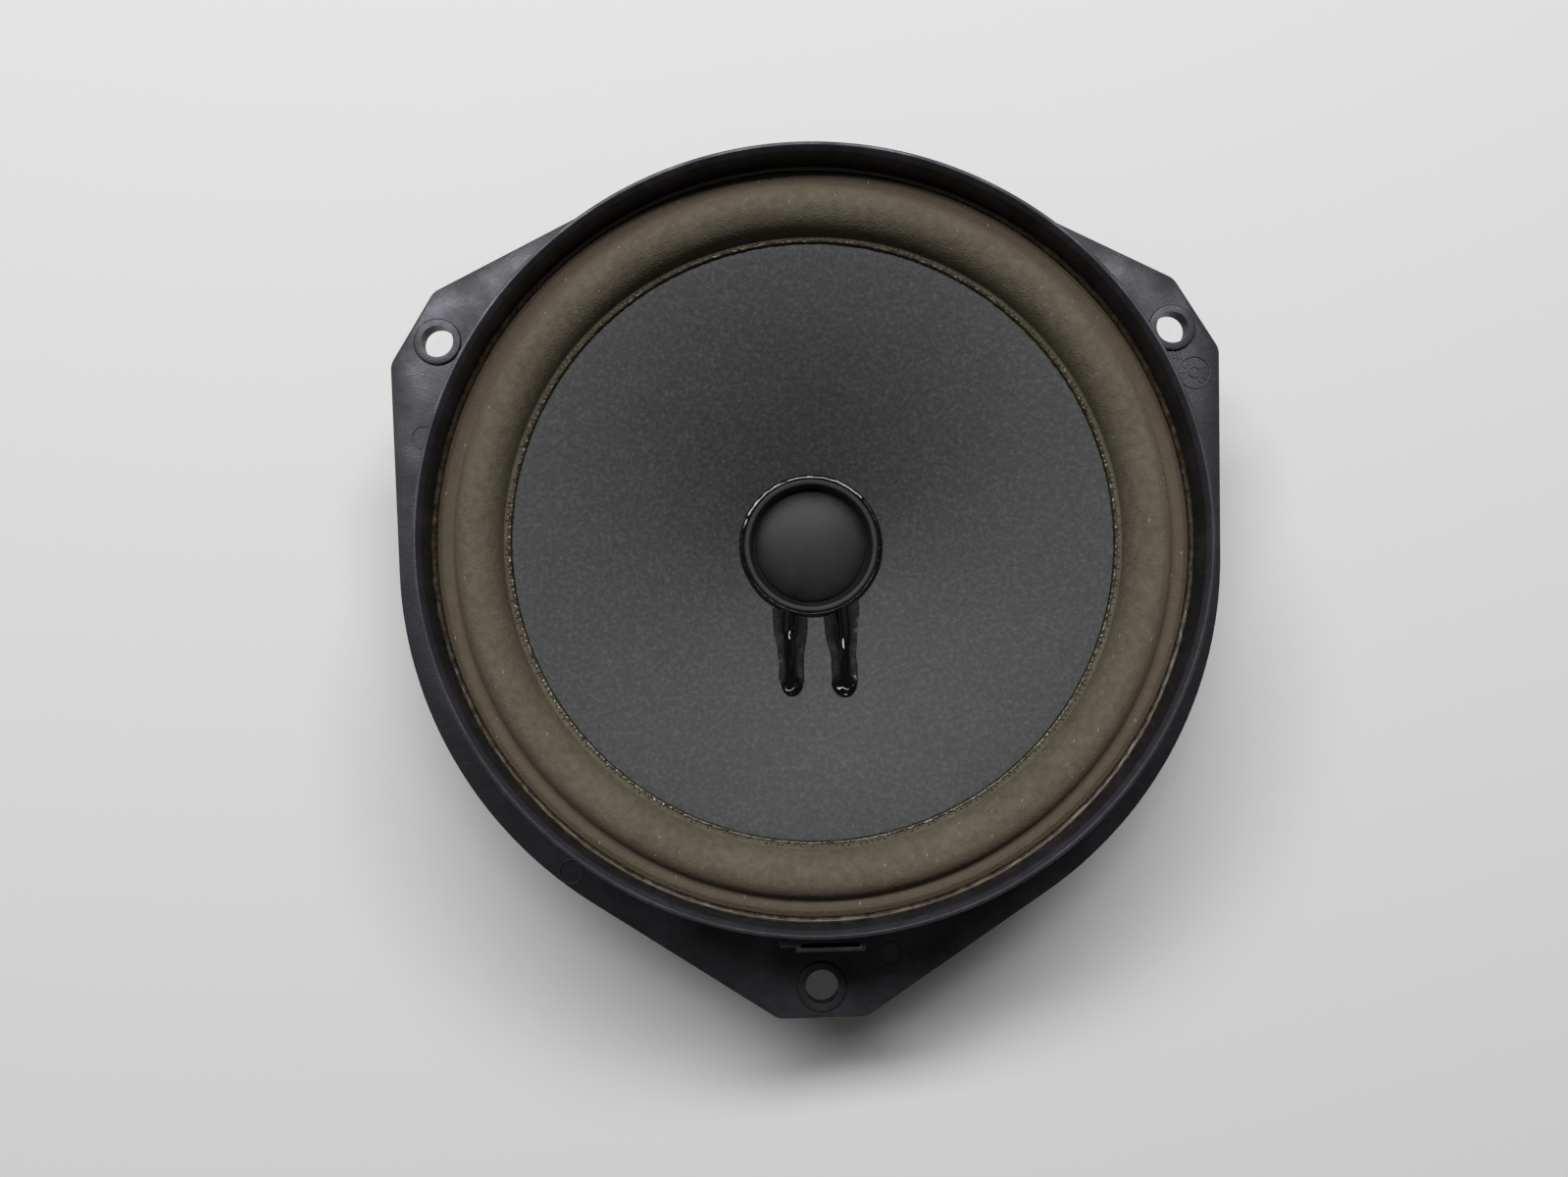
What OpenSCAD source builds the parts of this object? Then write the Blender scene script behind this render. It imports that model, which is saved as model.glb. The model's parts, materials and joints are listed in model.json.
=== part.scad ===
// Door loudspeaker, 165 mm class: one paper cone in a moulded basket with three ears.
// Origin: centre of the ears' rear face. +Z faces the listener, -Y is the single lower ear.

/* [Front rim] */
// Outer radius of the rim
rim_r = 74.5; // [62:0.5:90]
// Thickness of the rim's wall
rim_wall = 2.8; // [2.4:0.1:4]
// Height of the rim's front edge above the ears' rear face
rim_h = 27; // [20:0.5:34]
// Height of the tapered front part of the rim's outer wall
rim_taper_h = 12; // [6:0.5:16]
// How far the taper narrows the rim at its front edge
rim_taper_w = 1.3; // [0.5:0.1:1.5]
// Size of the bevel on the rim's front inner edge
rim_bevel = 0.9; // [0.4:0.1:1.1]

/* [Flange and ears] */
// Width of the flat flange outside the rim
flange_w = 8; // [5:0.5:12]
// Thickness of the flange and the ears
flange_t = 3; // [2:0.1:5]
// Reach of an ear's flat tip beyond the flange
ear_reach = 10; // [8:0.5:16]
// Width of an ear's flat tip
ear_tip_w = 17.2; // [12:0.2:24]
// Distance from an ear's tip to its hole
ear_hole_inset = 6.1; // [5.5:0.1:8]
// Radius of the screw hole in each ear
ear_hole_r = 3.25; // [2:0.05:4]
// Radius of the raised boss round each hole
ear_boss_r = 4.8; // [4.5:0.1:5.4]
// Height of the raised boss
ear_boss_h = 0.6; // [0.3:0.1:1.5]

/* [Basket] */
// Depth of the surround's seat below the rim's front edge
seat_depth = 8.15; // [7:0.1:12]
// Width of the surround's seat
seat_w = 5.7; // [5:0.1:8]
// Thickness of the seat and of the wall under it
seat_t = 2.6; // [2:0.1:3.2]
// Outer radius of the spider's platform
platform_r = 42.5; // [40:0.5:46]
// Width of the spider's platform
platform_w = 7; // [5:0.5:8]
// Height from the rivet floor's underside to the platform
platform_h = 8; // [7:0.2:12]
// Thickness of the sloping legs, measured along Z
leg_t = 3; // [2.4:0.1:4]
// Number of windows between the legs
windows = 12; // [12:1:16]
// Angle that one window covers, in degrees
window_angle = 15; // [10:0.5:17]

/* [Cone and surround] */
// Depth of the cone from its edge to its neck
cone_depth = 15.7; // [12:0.1:20]
// How far the cone's middle stands in front of a straight cone
cone_bow = 1.8; // [0:0.1:2]
// Thickness of the paper cone
cone_t = 0.6; // [0.4:0.05:1]
// Width of the surround's half roll between its two feet
roll_w = 7.9; // [6:0.1:10]
// Height of the half roll above its feet
roll_h = 4.6; // [3:0.1:6]
// Thickness of the surround's foam
foam_t = 0.9; // [0.6:0.05:1.4]
// Width of the surround's inner lip on the cone
lip_w = 1.3; // [1:0.1:2]

/* [Voice coil] */
// Outer radius of the coil's former
former_r = 12.8; // [10:0.1:15]
// Thickness of the former
former_t = 0.3; // [0.2:0.05:0.5]
// Thickness of the winding
winding_t = 0.6; // [0.4:0.1:1]
// Height of the winding
winding_h = 8; // [6:0.5:10]

/* [Motor] */
// Radius of the front and back plates
plate_r = 33; // [31:0.5:34]
// Thickness of each plate
plate_t = 4; // [3:0.5:6]
// Outer radius of the magnet
magnet_r = 36; // [33:0.5:38]
// Inner radius of the magnet
magnet_hole_r = 16.5; // [15.5:0.1:18]
// Thickness of the magnet
magnet_t = 12; // [10:0.5:16]
// Radius of the pole piece's foot in the back plate
pole_foot_r = 8; // [6:0.5:9]

/* [Terminals] */
// Width of the positive blade
positive_w = 6.3; // [4.8:0.1:6.3]
// Width of the negative blade
negative_w = 4.8; // [2.8:0.1:4.8]
// Thickness of the blades
blade_t = 0.8; // [0.5:0.1:1]
// Length of the blades behind the block
blade_l = 8; // [6:0.5:10]

/* [Clearances] */
// Radial gap between the coil and the pole or the plate
coil_gap = 0.5; // [0.3:0.05:0.8]
// Radial gap between the dust cap's groove and the former
cap_gap = 0.2; // [0.1:0.05:0.4]
// Gap between a soft part and what it is glued to
glue_gap = 0.05; // [0.02:0.01:0.1]
// Thickness of the glue on each face of the magnet
magnet_glue_t = 0.15; // [0.1:0.05:0.3]

/* [Hidden] */

$fn = 96;
// Extra length that carries a cut past the faces it opens
cut = 1;

// Radii of the front, from the rim inwards
rim_in_r = rim_r - rim_wall;
seat_in_r = rim_in_r - seat_w;
wall_out_r = seat_in_r + seat_t;
flange_r = rim_r + flange_w;
clip_z = rim_h - rim_taper_h;
clip_h = rim_taper_h - 3.6;
ear_tip_r = flange_r + ear_reach;
ear_circle_r = ear_tip_r - ear_hole_inset;
foam_out_r = rim_in_r - 1.1;
roll_out_r = seat_in_r + 0.8;
roll_in_r = roll_out_r - roll_w;
lip_in_r = roll_in_r - lip_w;
cone_out_r = roll_in_r + 1.3;
brim_in_r = lip_in_r - 0.2;

// Heights of the front
seat_z = rim_h - seat_depth;
lip_t = 0.6;
cone_edge_z = seat_z - 1.35;
lip_z = cone_edge_z + glue_gap;
neck_z = cone_edge_z - cone_depth;

// Spider, platform and floor
platform_z = neck_z - 7.8;
platform_in_r = platform_r - platform_w;
floor_z = platform_z - platform_h;
floor_t = 2.2;
floor_hole_r = 24;
cup_out_r = platform_in_r + 3;
spider_t = 0.4;
spider_wave = 1.4;
spider_waves = 4.5;
spider_flat_r = platform_in_r + 0.5;
spider_out_r = platform_r - 2.5;
spider_z = platform_z + glue_gap;

// Coil and motor stack
cone_neck_r = former_r + glue_gap;
winding_r = former_r + winding_t;
pole_r = former_r - former_t - coil_gap;
gap_r = winding_r + coil_gap;
plate_z = floor_z - plate_t;
winding_z = plate_z + plate_t / 2 - winding_h / 2;
magnet_z = plate_z - magnet_glue_t - magnet_t;
back_z = magnet_z - magnet_glue_t - plate_t;
pole_top_z = floor_z + 0.5;
rivet_circle_r = 28;
rivet_r = 2;
rivet_depth = 3.4;

// Dust cap: flange ring, groove and dome
cap_groove_r = former_r - former_t - cap_gap - 0.9;
cap_flange_r = former_r + 0.8;
cap_glue_w = 0.9;
cap_top_z = neck_z + 1.6;
cap_groove_z = neck_z - 1.2;
cap_t = 0.5;

// Lead-out wires: x of the left and right one, and the radius where they leave the cone
lead_x = [-4.6, 5.7];
lead_y = -28;
eyelet_r = 1;
strip_w = 5;
strip_top_w = 7.2;
strip_t = 0.9;

// Terminal shelf on the basket, behind the window on the -Y side
shelf_w = 30;
shelf_y = [-platform_r - 15.5, -cup_out_r + 1];
shelf_z = platform_z - 2;
shelf_t = 2.4;
block_t = 3;
block_z = shelf_z - shelf_t - block_t;
terminal_y = -platform_r - 8;
terminal_x = 4.4;
lug_w = 3;
lug_top_z = platform_z + 1.6;
rivet_x = 10.6;
lug_slot = [14.8, 5];

// ---- Shared shapes ----

// Points of an elliptical arch from foot to foot; its half width is a, its height h.
function arch(centre, a, h, foot_in, foot_out, steps = 18) = [
    for (i = [0:steps])
        let (u = 180 - 180 * i / steps, rise = (cos(u) + 1) / 2)
            [centre + a * cos(u), foot_in + (foot_out - foot_in) * rise + h * sin(u)]
];

function reverse(points) = [for (i = [len(points) - 1:-1:0]) points[i]];

// Height of the cone's front face at radius r, and its slope there in degrees.
function cone_share(r) = (r - cone_neck_r) / (brim_in_r - cone_neck_r);
function cone_z(r) = neck_z + cone_depth * cone_share(r) + 4 * cone_bow * cone_share(r) * (1 - cone_share(r));
function cone_slope(r) = atan((cone_z(r + 0.5) - cone_z(r - 0.5)));

// Points of the cone's front face, raised by lift, between two radii.
function cone_face(r0, r1, lift, steps = 12) = [
    for (i = [0:steps])
        let (r = r0 + (r1 - r0) * i / steps) [r, cone_z(r) + lift]
];

module ring(r_out, r_in, z, h) {
    translate([0, 0, z]) difference() {
        cylinder(r = r_out, h = h);
        translate([0, 0, -cut]) cylinder(r = r_in, h = h + 2 * cut);
    }
}

module on_circle(count, radius, start = 0) {
    for (i = [0:count - 1]) rotate(start + 360 * i / count) translate([radius, 0, 0]) children();
}

// Puts a child on the cone's front face at x, y, square to the paper.
module on_cone(x, y) {
    r = norm([x, y]);
    translate([x, y, cone_z(r)]) rotate(atan2(y, x)) rotate([0, -cone_slope(r), 0]) children();
}

// ---- Basket ----

ear_corner = [ear_tip_r, ear_tip_w / 2];
// Direction in which an ear's straight flank touches the round flange
ear_touch = atan2(ear_corner.y, ear_corner.x) + acos(flange_r / norm(ear_corner));

module ear_outline() {
    touch = flange_r * [cos(ear_touch), sin(ear_touch)];
    polygon([
        [0, 0], [touch.x, -touch.y], [ear_corner.x, -ear_corner.y], ear_corner, touch
    ]);
}

module flange() {
    linear_extrude(flange_t) {
        circle(r = flange_r);
        for (a = [30, 150, 270]) rotate(a) ear_outline();
    }
    on_circle(3, ear_circle_r, 30) cylinder(r = ear_boss_r, h = flange_t + ear_boss_h);
}

// Half section of everything that is round: rim, seat, legs, platform and floor.
module basket_section() {
    seat_foot_z = seat_z - seat_t;
    leg_top_z = platform_z + 8;
    polygon([
        [rim_in_r, rim_h - rim_bevel], [rim_in_r + rim_bevel, rim_h], [rim_r - rim_taper_w, rim_h],
        [rim_r, rim_h - rim_taper_h], [rim_r, 0],
        [rim_in_r, 0], [rim_in_r, seat_foot_z], [wall_out_r, seat_foot_z], [wall_out_r, leg_top_z - leg_t],
        [platform_r, platform_z - leg_t], [cup_out_r, platform_z - leg_t], [cup_out_r, floor_z],
        [floor_hole_r, floor_z], [floor_hole_r, floor_z + floor_t], [platform_in_r, floor_z + floor_t],
        [platform_in_r, platform_z], [platform_r, platform_z], [seat_in_r, leg_top_z],
        [seat_in_r, seat_z], [rim_in_r, seat_z]
    ]);
}

module window() {
    inner = platform_r + 2;
    outer = seat_in_r - 2;
    translate([0, 0, platform_z - leg_t - cut]) rotate(-window_angle / 2)
        rotate_extrude(angle = window_angle) translate([inner, 0]) square([outer - inner, 12]);
}

// Shelf that carries the terminals, with a gusset on each side up to the legs.
module terminal_shelf() {
    rise = 8 / (seat_in_r - platform_r);
    low = shelf_z - shelf_t;
    translate([-shelf_w / 2, shelf_y[0], low]) cube([shelf_w, shelf_y[1] - shelf_y[0], shelf_t]);
    for (x = [-shelf_w / 2, shelf_w / 2 - 1.8])
        translate([x, 0, 0]) rotate([90, 0, 90]) linear_extrude(1.8) polygon([
            [shelf_y[0], low], [-platform_r, low], [-platform_r, platform_z - 1],
            [shelf_y[0], platform_z - 1 + rise * (-shelf_y[0] - platform_r)]
        ]);
}

// Clip on the rim's outer wall above the lower ear: a pocket with a slot, and a step beside it.
module rim_clip() {
    difference() {
        translate([-5.2, -rim_r - 1.5, clip_z]) cube([12.5, 3, clip_h]);
        translate([-4.2, -rim_r - 0.8, clip_z - cut]) cube([10.5, 0.7, clip_h + 2 * cut]);
    }
    translate([-8, -rim_r - 0.6, clip_z]) cube([2.9, 2.2, clip_h]);
}

module basket() {
    color("#1c1b1f") difference() {
        union() {
            difference() {
                union() {
                    rotate_extrude() basket_section();
                    difference() {
                        flange();
                        translate([0, 0, -cut]) cylinder(r = rim_r - 0.5, h = flange_t + 2 * cut);
                    }
                }
                on_circle(windows, 0, 270) window();
            }
            difference() {
                rim_clip();
                cylinder(r = rim_r - rim_taper_w - 0.4, h = rim_h);
            }
            // Ribs that tie the rim to the wall under the seat
            on_circle(windows, 0, 270 + 180 / windows)
                translate([wall_out_r - 0.5, -0.9, 0]) cube([rim_in_r - wall_out_r + 1, 1.8, seat_z - 1]);
            terminal_shelf();
        }
        on_circle(3, ear_circle_r, 30)
            translate([0, 0, -cut]) cylinder(r = ear_hole_r, h = flange_t + ear_boss_h + 2 * cut);
        on_circle(4, rivet_circle_r, 45) translate([0, 0, floor_z - cut]) cylinder(r = rivet_r, h = 5);
        // Opening for the two lugs, and the two rivet holes of the terminal block
        translate([-lug_slot.x / 2, terminal_y - lug_slot.y / 2, shelf_z - shelf_t - cut])
            cube([lug_slot.x, lug_slot.y, shelf_t + 2 * cut]);
        for (x = [-rivet_x, rivet_x])
            translate([x, terminal_y, shelf_z - shelf_t - cut]) cylinder(r = 1.3, h = shelf_t + 2 * cut);
    }
}

// ---- Surround and its glue ----

module surround() {
    centre = (roll_in_r + roll_out_r) / 2;
    half = roll_w / 2;
    foot_in = lip_z + lip_t / 2;
    foot_out = seat_z + glue_gap + foam_t / 2;
    outer = arch(centre, half + foam_t / 2, roll_h + foam_t / 2, foot_in, foot_out);
    inner = arch(centre, half - foam_t / 2, roll_h - foam_t / 2, foot_in, foot_out);
    ridge = [
        [roll_out_r + 0.7, seat_z + 1], [roll_out_r + 1.3, seat_z + 1.35], [foam_out_r - 1.2, seat_z + 1.35],
        [foam_out_r - 0.6, seat_z + 1], [foam_out_r, seat_z + 0.6]
    ];
    color("#6b6455") rotate_extrude() polygon(concat(
        [[lip_in_r, lip_z], [lip_in_r, lip_z + lip_t]], outer, ridge, [[foam_out_r, seat_z + glue_gap]],
        [[roll_out_r - foam_t / 2, seat_z + glue_gap]], reverse(inner),
        [[roll_in_r + foam_t / 2, lip_z]]
    ));
}

module surround_glue() {
    color("#8a7a45") rotate_extrude() polygon([
        [foam_out_r + glue_gap, seat_z], [rim_in_r, seat_z], [rim_in_r, seat_z + 0.95],
        [foam_out_r + 0.6, seat_z + 1.05], [foam_out_r + glue_gap, seat_z + 0.6]
    ]);
}

// ---- Cone assembly ----

module cone() {
    front = cone_face(cone_neck_r, brim_in_r, 0);
    rear = reverse(cone_face(cone_neck_r, brim_in_r, -cone_t / cos(cone_slope((cone_neck_r + brim_in_r) / 2))));
    color("#4a4b4d") difference() {
        rotate_extrude() polygon(concat(
            front, [[cone_out_r, cone_edge_z], [cone_out_r, cone_edge_z - cone_t]], rear
        ));
        for (x = lead_x) on_cone(x, lead_y) translate([0, 0, -3]) cylinder(r = eyelet_r, h = 6, $fn = 32);
    }
}

module cone_edge_glue() {
    color("#9a8a50") rotate_extrude() polygon([
        [lip_in_r - 0.8, cone_z(lip_in_r - 0.8)], [brim_in_r, cone_edge_z], [lip_in_r - glue_gap, cone_edge_z],
        [lip_in_r - glue_gap, lip_z + lip_t], [lip_in_r - 0.4, lip_z + lip_t * 0.8]
    ]);
}

module dust_cap() {
    edge_z = cone_z(cap_flange_r);
    dome = [for (a = [0:7.5:90]) [
        (cap_groove_r - 0.5) * sin(90 - a), cap_groove_z + 0.1 + (cap_top_z - cap_groove_z) * sin(a)
    ]];
    color("#2f3033") rotate_extrude() polygon(concat(
        [
            [cap_flange_r, edge_z], [cap_flange_r, cap_top_z - 0.4], [cap_flange_r - 0.4, cap_top_z],
            [cap_groove_r + 1, cap_top_z - 0.5], [cap_groove_r + 0.4, cap_top_z - 1.4],
            [cap_groove_r, cap_groove_z]
        ],
        dome,
        reverse([for (p = dome) [p.x * 0.98, p.y - cap_t]]),
        [
            [cap_groove_r + 0.4, cap_groove_z - cap_t], [cap_groove_r + 0.9, cap_groove_z],
            [cap_groove_r + 0.9, neck_z + 0.5], [cone_neck_r + 0.15, cone_z(cone_neck_r + 0.15)]
        ]
    ));
}

module dust_cap_glue() {
    color("#0c0c0e") rotate_extrude() polygon([
        [cap_flange_r, cone_z(cap_flange_r)], [cap_flange_r + cap_glue_w, cone_z(cap_flange_r + cap_glue_w)],
        [cap_flange_r + 0.6, cone_z(cap_flange_r) + 0.8], [cap_flange_r, cap_top_z - 0.4]
    ]);
}

// Glossy strip of glue along the cone over one lead-out wire, narrower towards the eyelet.
module lead_glue(side) {
    x = lead_x[side];
    start_r = cap_flange_r + cap_glue_w + 0.05;
    color("#0b0b0d") intersection() {
        rotate_extrude() polygon(concat(
            cone_face(start_r, -lead_y + 4, 0.02, 8), reverse(cone_face(start_r, -lead_y + 4, strip_t, 8))
        ));
        translate([0, 0, neck_z]) linear_extrude(20) {
            polygon([
                [x - strip_w / 2, lead_y], [x + strip_w / 2, lead_y], [x + strip_w / 2, lead_y + 6],
                [x + strip_top_w / 2, -start_r * 0.8], [x - strip_top_w / 2, -start_r * 0.8],
                [x - strip_w / 2, lead_y + 6]
            ]);
            translate([x, lead_y]) circle(r = strip_w / 2, $fn = 48);
        }
    }
}

module coil_former() {
    bottom = winding_z - 0.5;
    color("#b98a4a") ring(former_r, former_r - former_t, bottom, neck_z - bottom);
}

module voice_coil() {
    color("#a5562c") ring(winding_r, former_r, winding_z, winding_h);
}

module neck_glue() {
    color("#1d1a16") rotate_extrude() polygon([
        [former_r, neck_z - 2.4], [cone_neck_r + 1.4, neck_z - 0.2], [cone_neck_r, neck_z - 0.75],
        [former_r, neck_z - 0.75]
    ]);
}

// Straight wire on the cone from the dust cap's flange to the eyelet.
module coil_lead(side) {
    x = lead_x[side];
    wire_r = 0.2;
    y0 = -cap_flange_r - 1.4;
    y1 = lead_y + 1.9;
    from = [x, y0, cone_z(norm([x, y0])) + 0.35];
    to = [x, y1, cone_z(norm([x, y1])) + 0.35];
    run = to - from;
    color("#b06a35") translate(from) rotate([-atan2(run.z, -run.y) + 90, 0, 0])
        cylinder(r = wire_r, h = norm(run), $fn = 24);
}

module eyelet(side) {
    color("#b8954a") on_cone(lead_x[side], lead_y) difference() {
        union() {
            translate([0, 0, 0.05]) cylinder(r = 1.7, h = 0.35, $fn = 32);
            translate([0, 0, -1.6]) cylinder(r = eyelet_r, h = 1.8, $fn = 32);
            translate([0, 0, -1.1]) cylinder(r = 1.5, h = 0.35, $fn = 32);
        }
        translate([0, 0, -3]) cylinder(r = 0.6, h = 6, $fn = 32);
    }
}

module solder(side) {
    color("#b9bbbd") on_cone(lead_x[side], lead_y) translate([0, 0, -2.6])
        cylinder(r1 = 0.9, r2 = 1.3, h = 1, $fn = 32);
}

// ---- Flexible leads ----

lead_tube_r = 0.8;

// Route of one lead from under its eyelet to the front of its lug.
function lead_route(side) =
    let (x = lead_x[side], end_x = (side == 0 ? -terminal_x : terminal_x), top = cone_z(norm([x, lead_y])) - 2.9)
    [
        [x, lead_y - 0.7, top], [x, -30, top - 1.5], [x * 0.98, -33, 1], [x * 0.93, -37, -0.6],
        [end_x * 1.02, -41, -1.4], [end_x, -45, -1.9], [end_x, terminal_y + 2.4, -2.8],
        [end_x, terminal_y + 0.6, -3.9]
    ];

function unit(v) = v / norm(v);
function route_dir(p, i) = unit(p[min(i + 1, len(p) - 1)] - p[max(i - 1, 0)]);

// Closed tube with eight sides along a route that stays near the YZ plane.
module swept_tube(route, r) {
    sides = 8;
    rings = len(route);
    points = [
        for (i = [0:rings - 1])
            let (d = route_dir(route, i), u = unit(cross(d, [1, 0, 0])), v = cross(d, u))
                for (k = [0:sides - 1]) route[i] + r * (cos(360 * k / sides) * u + sin(360 * k / sides) * v)
    ];
    walls = [
        for (i = [0:rings - 2]) for (k = [0:sides - 1])
            let (n = (k + 1) % sides) [i * sides + k, i * sides + n, (i + 1) * sides + n, (i + 1) * sides + k]
    ];
    start = [for (k = [sides - 1:-1:0]) k];
    end = [for (k = [0:sides - 1]) (rings - 1) * sides + k];
    polyhedron(points, concat([start], walls, [end]));
}

module tinsel_lead(side) {
    color("#a8713f") swept_tube(lead_route(side), lead_tube_r);
}

// ---- Terminals ----

module terminal_block() {
    wide = shelf_w - 2;
    deep = 12;
    color("#2a2422") difference() {
        translate([-wide / 2, terminal_y - deep / 2, block_z]) cube([wide, deep, block_t]);
        for (x = [-terminal_x, terminal_x])
            translate([x - lug_w / 2, terminal_y - blade_t / 2, block_z - cut])
                cube([lug_w, blade_t, block_t + 2 * cut]);
        for (x = [-rivet_x, rivet_x])
            translate([x, terminal_y, block_z - cut]) cylinder(r = 1.3, h = block_t + 2 * cut);
    }
}

// Blade behind the block with a lug through it; the blade's tip is bevelled.
module blade(x, w) {
    tip = 1.2;
    color("#c9ccd0") difference() {
        translate([x, terminal_y + blade_t / 2, 0]) rotate([90, 0, 0]) linear_extrude(blade_t) polygon([
            [-lug_w / 2, lug_top_z], [-lug_w / 2, block_z], [-w / 2, block_z], [-w / 2, block_z - blade_l + tip],
            [-w / 2 + tip, block_z - blade_l], [w / 2 - tip, block_z - blade_l],
            [w / 2, block_z - blade_l + tip], [w / 2, block_z], [lug_w / 2, block_z], [lug_w / 2, lug_top_z]
        ]);
        translate([x, terminal_y + blade_t, block_z - blade_l + 3.2]) rotate([90, 0, 0])
            cylinder(r = 0.9, h = 2 * blade_t, $fn = 32);
    }
}

module terminal_rivets() {
    color("#9da1a6") for (x = [-rivet_x, rivet_x]) translate([x, terminal_y, 0]) {
        translate([0, 0, block_z]) cylinder(r = 1.3, h = shelf_z - block_z, $fn = 32);
        translate([0, 0, block_z - 0.8]) cylinder(r = 2.2, h = 0.8, $fn = 32);
        translate([0, 0, shelf_z]) cylinder(r = 2.2, h = 0.7, $fn = 32);
    }
}

// ---- Spider ----

// Height of the spider's underside at radius r: waves that start at the former.
function spider_low(r) =
    let (u = (r - former_r - 1) / (spider_flat_r - former_r - 1))
        spider_z + 0.3 * (1 - u) + spider_wave * (1 - cos(360 * spider_waves * u)) / 2 * (1 - 0.2 * u);

module spider() {
    r0 = former_r + 1;
    steps = 54;
    low = [for (i = [0:steps]) let (r = r0 + (spider_flat_r - r0) * i / steps) [r, spider_low(r)]];
    high = reverse([for (p = low) [p.x, p.y + spider_t]]);
    color("#a9884e") rotate_extrude() polygon(concat(
        [[cone_neck_r, spider_z + 2.4], [cone_neck_r, spider_z]], low,
        [[spider_out_r, spider_z], [spider_out_r, spider_z + spider_t]], high,
        [[cone_neck_r + spider_t, spider_z + 2.4]]
    ));
}

module spider_glue() {
    color("#7d5a2a") rotate_extrude() polygon([
        [spider_out_r + glue_gap, platform_z], [spider_out_r + 1.6, platform_z],
        [spider_out_r + glue_gap, platform_z + 0.8]
    ]);
}

// ---- Motor ----

module front_plate() {
    color("#b9b48f") difference() {
        ring(plate_r, gap_r, plate_z, plate_t);
        on_circle(4, rivet_circle_r, 45)
            translate([0, 0, floor_z - rivet_depth]) cylinder(r = rivet_r, h = rivet_depth + cut);
    }
}

module plate_rivets() {
    color("#9da1a6") on_circle(4, rivet_circle_r, 45) {
        translate([0, 0, floor_z - rivet_depth]) cylinder(r = rivet_r, h = rivet_depth + floor_t);
        translate([0, 0, floor_z + floor_t]) cylinder(r = 3.2, h = 1);
    }
}

module front_magnet_glue() {
    color("#2b2926") ring(plate_r - 0.5, magnet_hole_r + 0.5, plate_z - magnet_glue_t, magnet_glue_t);
}

module magnet() {
    color("#35363a") ring(magnet_r, magnet_hole_r, magnet_z, magnet_t);
}

module rear_magnet_glue() {
    color("#2b2926") ring(plate_r - 0.5, magnet_hole_r + 0.5, magnet_z - magnet_glue_t, magnet_glue_t);
}

module back_plate() {
    color("#b9b48f") ring(plate_r, pole_foot_r, back_z, plate_t);
}

module pole_piece() {
    shoulder_z = back_z + plate_t;
    color("#c0bc9c") rotate_extrude() polygon([
        [0, back_z], [pole_foot_r, back_z], [pole_foot_r, shoulder_z], [pole_r, shoulder_z],
        [pole_r, pole_top_z - 0.6], [pole_r - 0.6, pole_top_z], [0, pole_top_z]
    ]);
}

basket();
surround();
surround_glue();
cone();
cone_edge_glue();
dust_cap();
dust_cap_glue();
lead_glue(0);  // left_lead_glue
lead_glue(1);  // right_lead_glue
coil_former();
voice_coil();
neck_glue();
coil_lead(0);  // left_coil_lead
coil_lead(1);  // right_coil_lead
eyelet(0);  // left_eyelet
eyelet(1);  // right_eyelet
solder(0);  // left_solder
solder(1);  // right_solder
tinsel_lead(0);  // left_tinsel_lead
tinsel_lead(1);  // right_tinsel_lead
terminal_block();
blade(terminal_x, positive_w);  // positive_terminal
blade(-terminal_x, negative_w);  // negative_terminal
terminal_rivets();
spider();
spider_glue();
front_plate();
plate_rivets();
front_magnet_glue();
magnet();
rear_magnet_glue();
back_plate();
pole_piece();
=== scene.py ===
"""Door loudspeaker with a moulded basket, a paper cone and a foam surround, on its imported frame."""

import json
from math import acos, asin, atan2, cos, degrees, hypot, pi, radians, sin, tan

import bmesh
import bpy
from mathutils import Matrix, Vector, noise


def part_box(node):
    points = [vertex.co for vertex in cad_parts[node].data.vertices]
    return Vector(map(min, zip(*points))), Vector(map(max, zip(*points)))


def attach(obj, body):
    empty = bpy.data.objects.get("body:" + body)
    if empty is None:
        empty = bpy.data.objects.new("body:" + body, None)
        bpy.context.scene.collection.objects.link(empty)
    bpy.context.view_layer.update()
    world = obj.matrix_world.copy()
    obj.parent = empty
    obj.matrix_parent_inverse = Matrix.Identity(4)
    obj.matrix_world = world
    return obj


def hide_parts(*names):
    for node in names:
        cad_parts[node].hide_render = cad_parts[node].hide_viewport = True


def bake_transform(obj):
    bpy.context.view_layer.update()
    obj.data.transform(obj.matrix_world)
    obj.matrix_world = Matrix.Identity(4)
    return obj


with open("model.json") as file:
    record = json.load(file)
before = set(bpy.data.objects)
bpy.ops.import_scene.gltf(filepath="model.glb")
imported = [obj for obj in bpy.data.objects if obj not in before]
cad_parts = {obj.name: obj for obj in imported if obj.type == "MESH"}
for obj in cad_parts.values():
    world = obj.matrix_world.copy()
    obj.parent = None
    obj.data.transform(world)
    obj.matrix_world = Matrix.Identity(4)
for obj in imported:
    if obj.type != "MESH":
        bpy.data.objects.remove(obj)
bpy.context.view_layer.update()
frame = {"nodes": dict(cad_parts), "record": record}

# ---------------------------------------------------------------- sizes, in metres

MM = 0.001
FRAME = "frame"
MOVING = "moving_assembly"


def reach(node):
    """Largest distance of a node from the cone's axis, along X."""
    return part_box(node)[1].x


def low(node):
    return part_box(node)[0].z


def high(node):
    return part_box(node)[1].z


EAR_HOLES = next(m["dims"] for m in frame["record"]["mounts"] if m["name"] == "ear_holes")
EAR_CIRCLE = EAR_HOLES["pcd_mm"] / 2 * MM
EAR_HOLE = EAR_HOLES["hole_r_mm"] * MM
EAR_ANGLES = [radians(30), radians(150), radians(270)]

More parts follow.
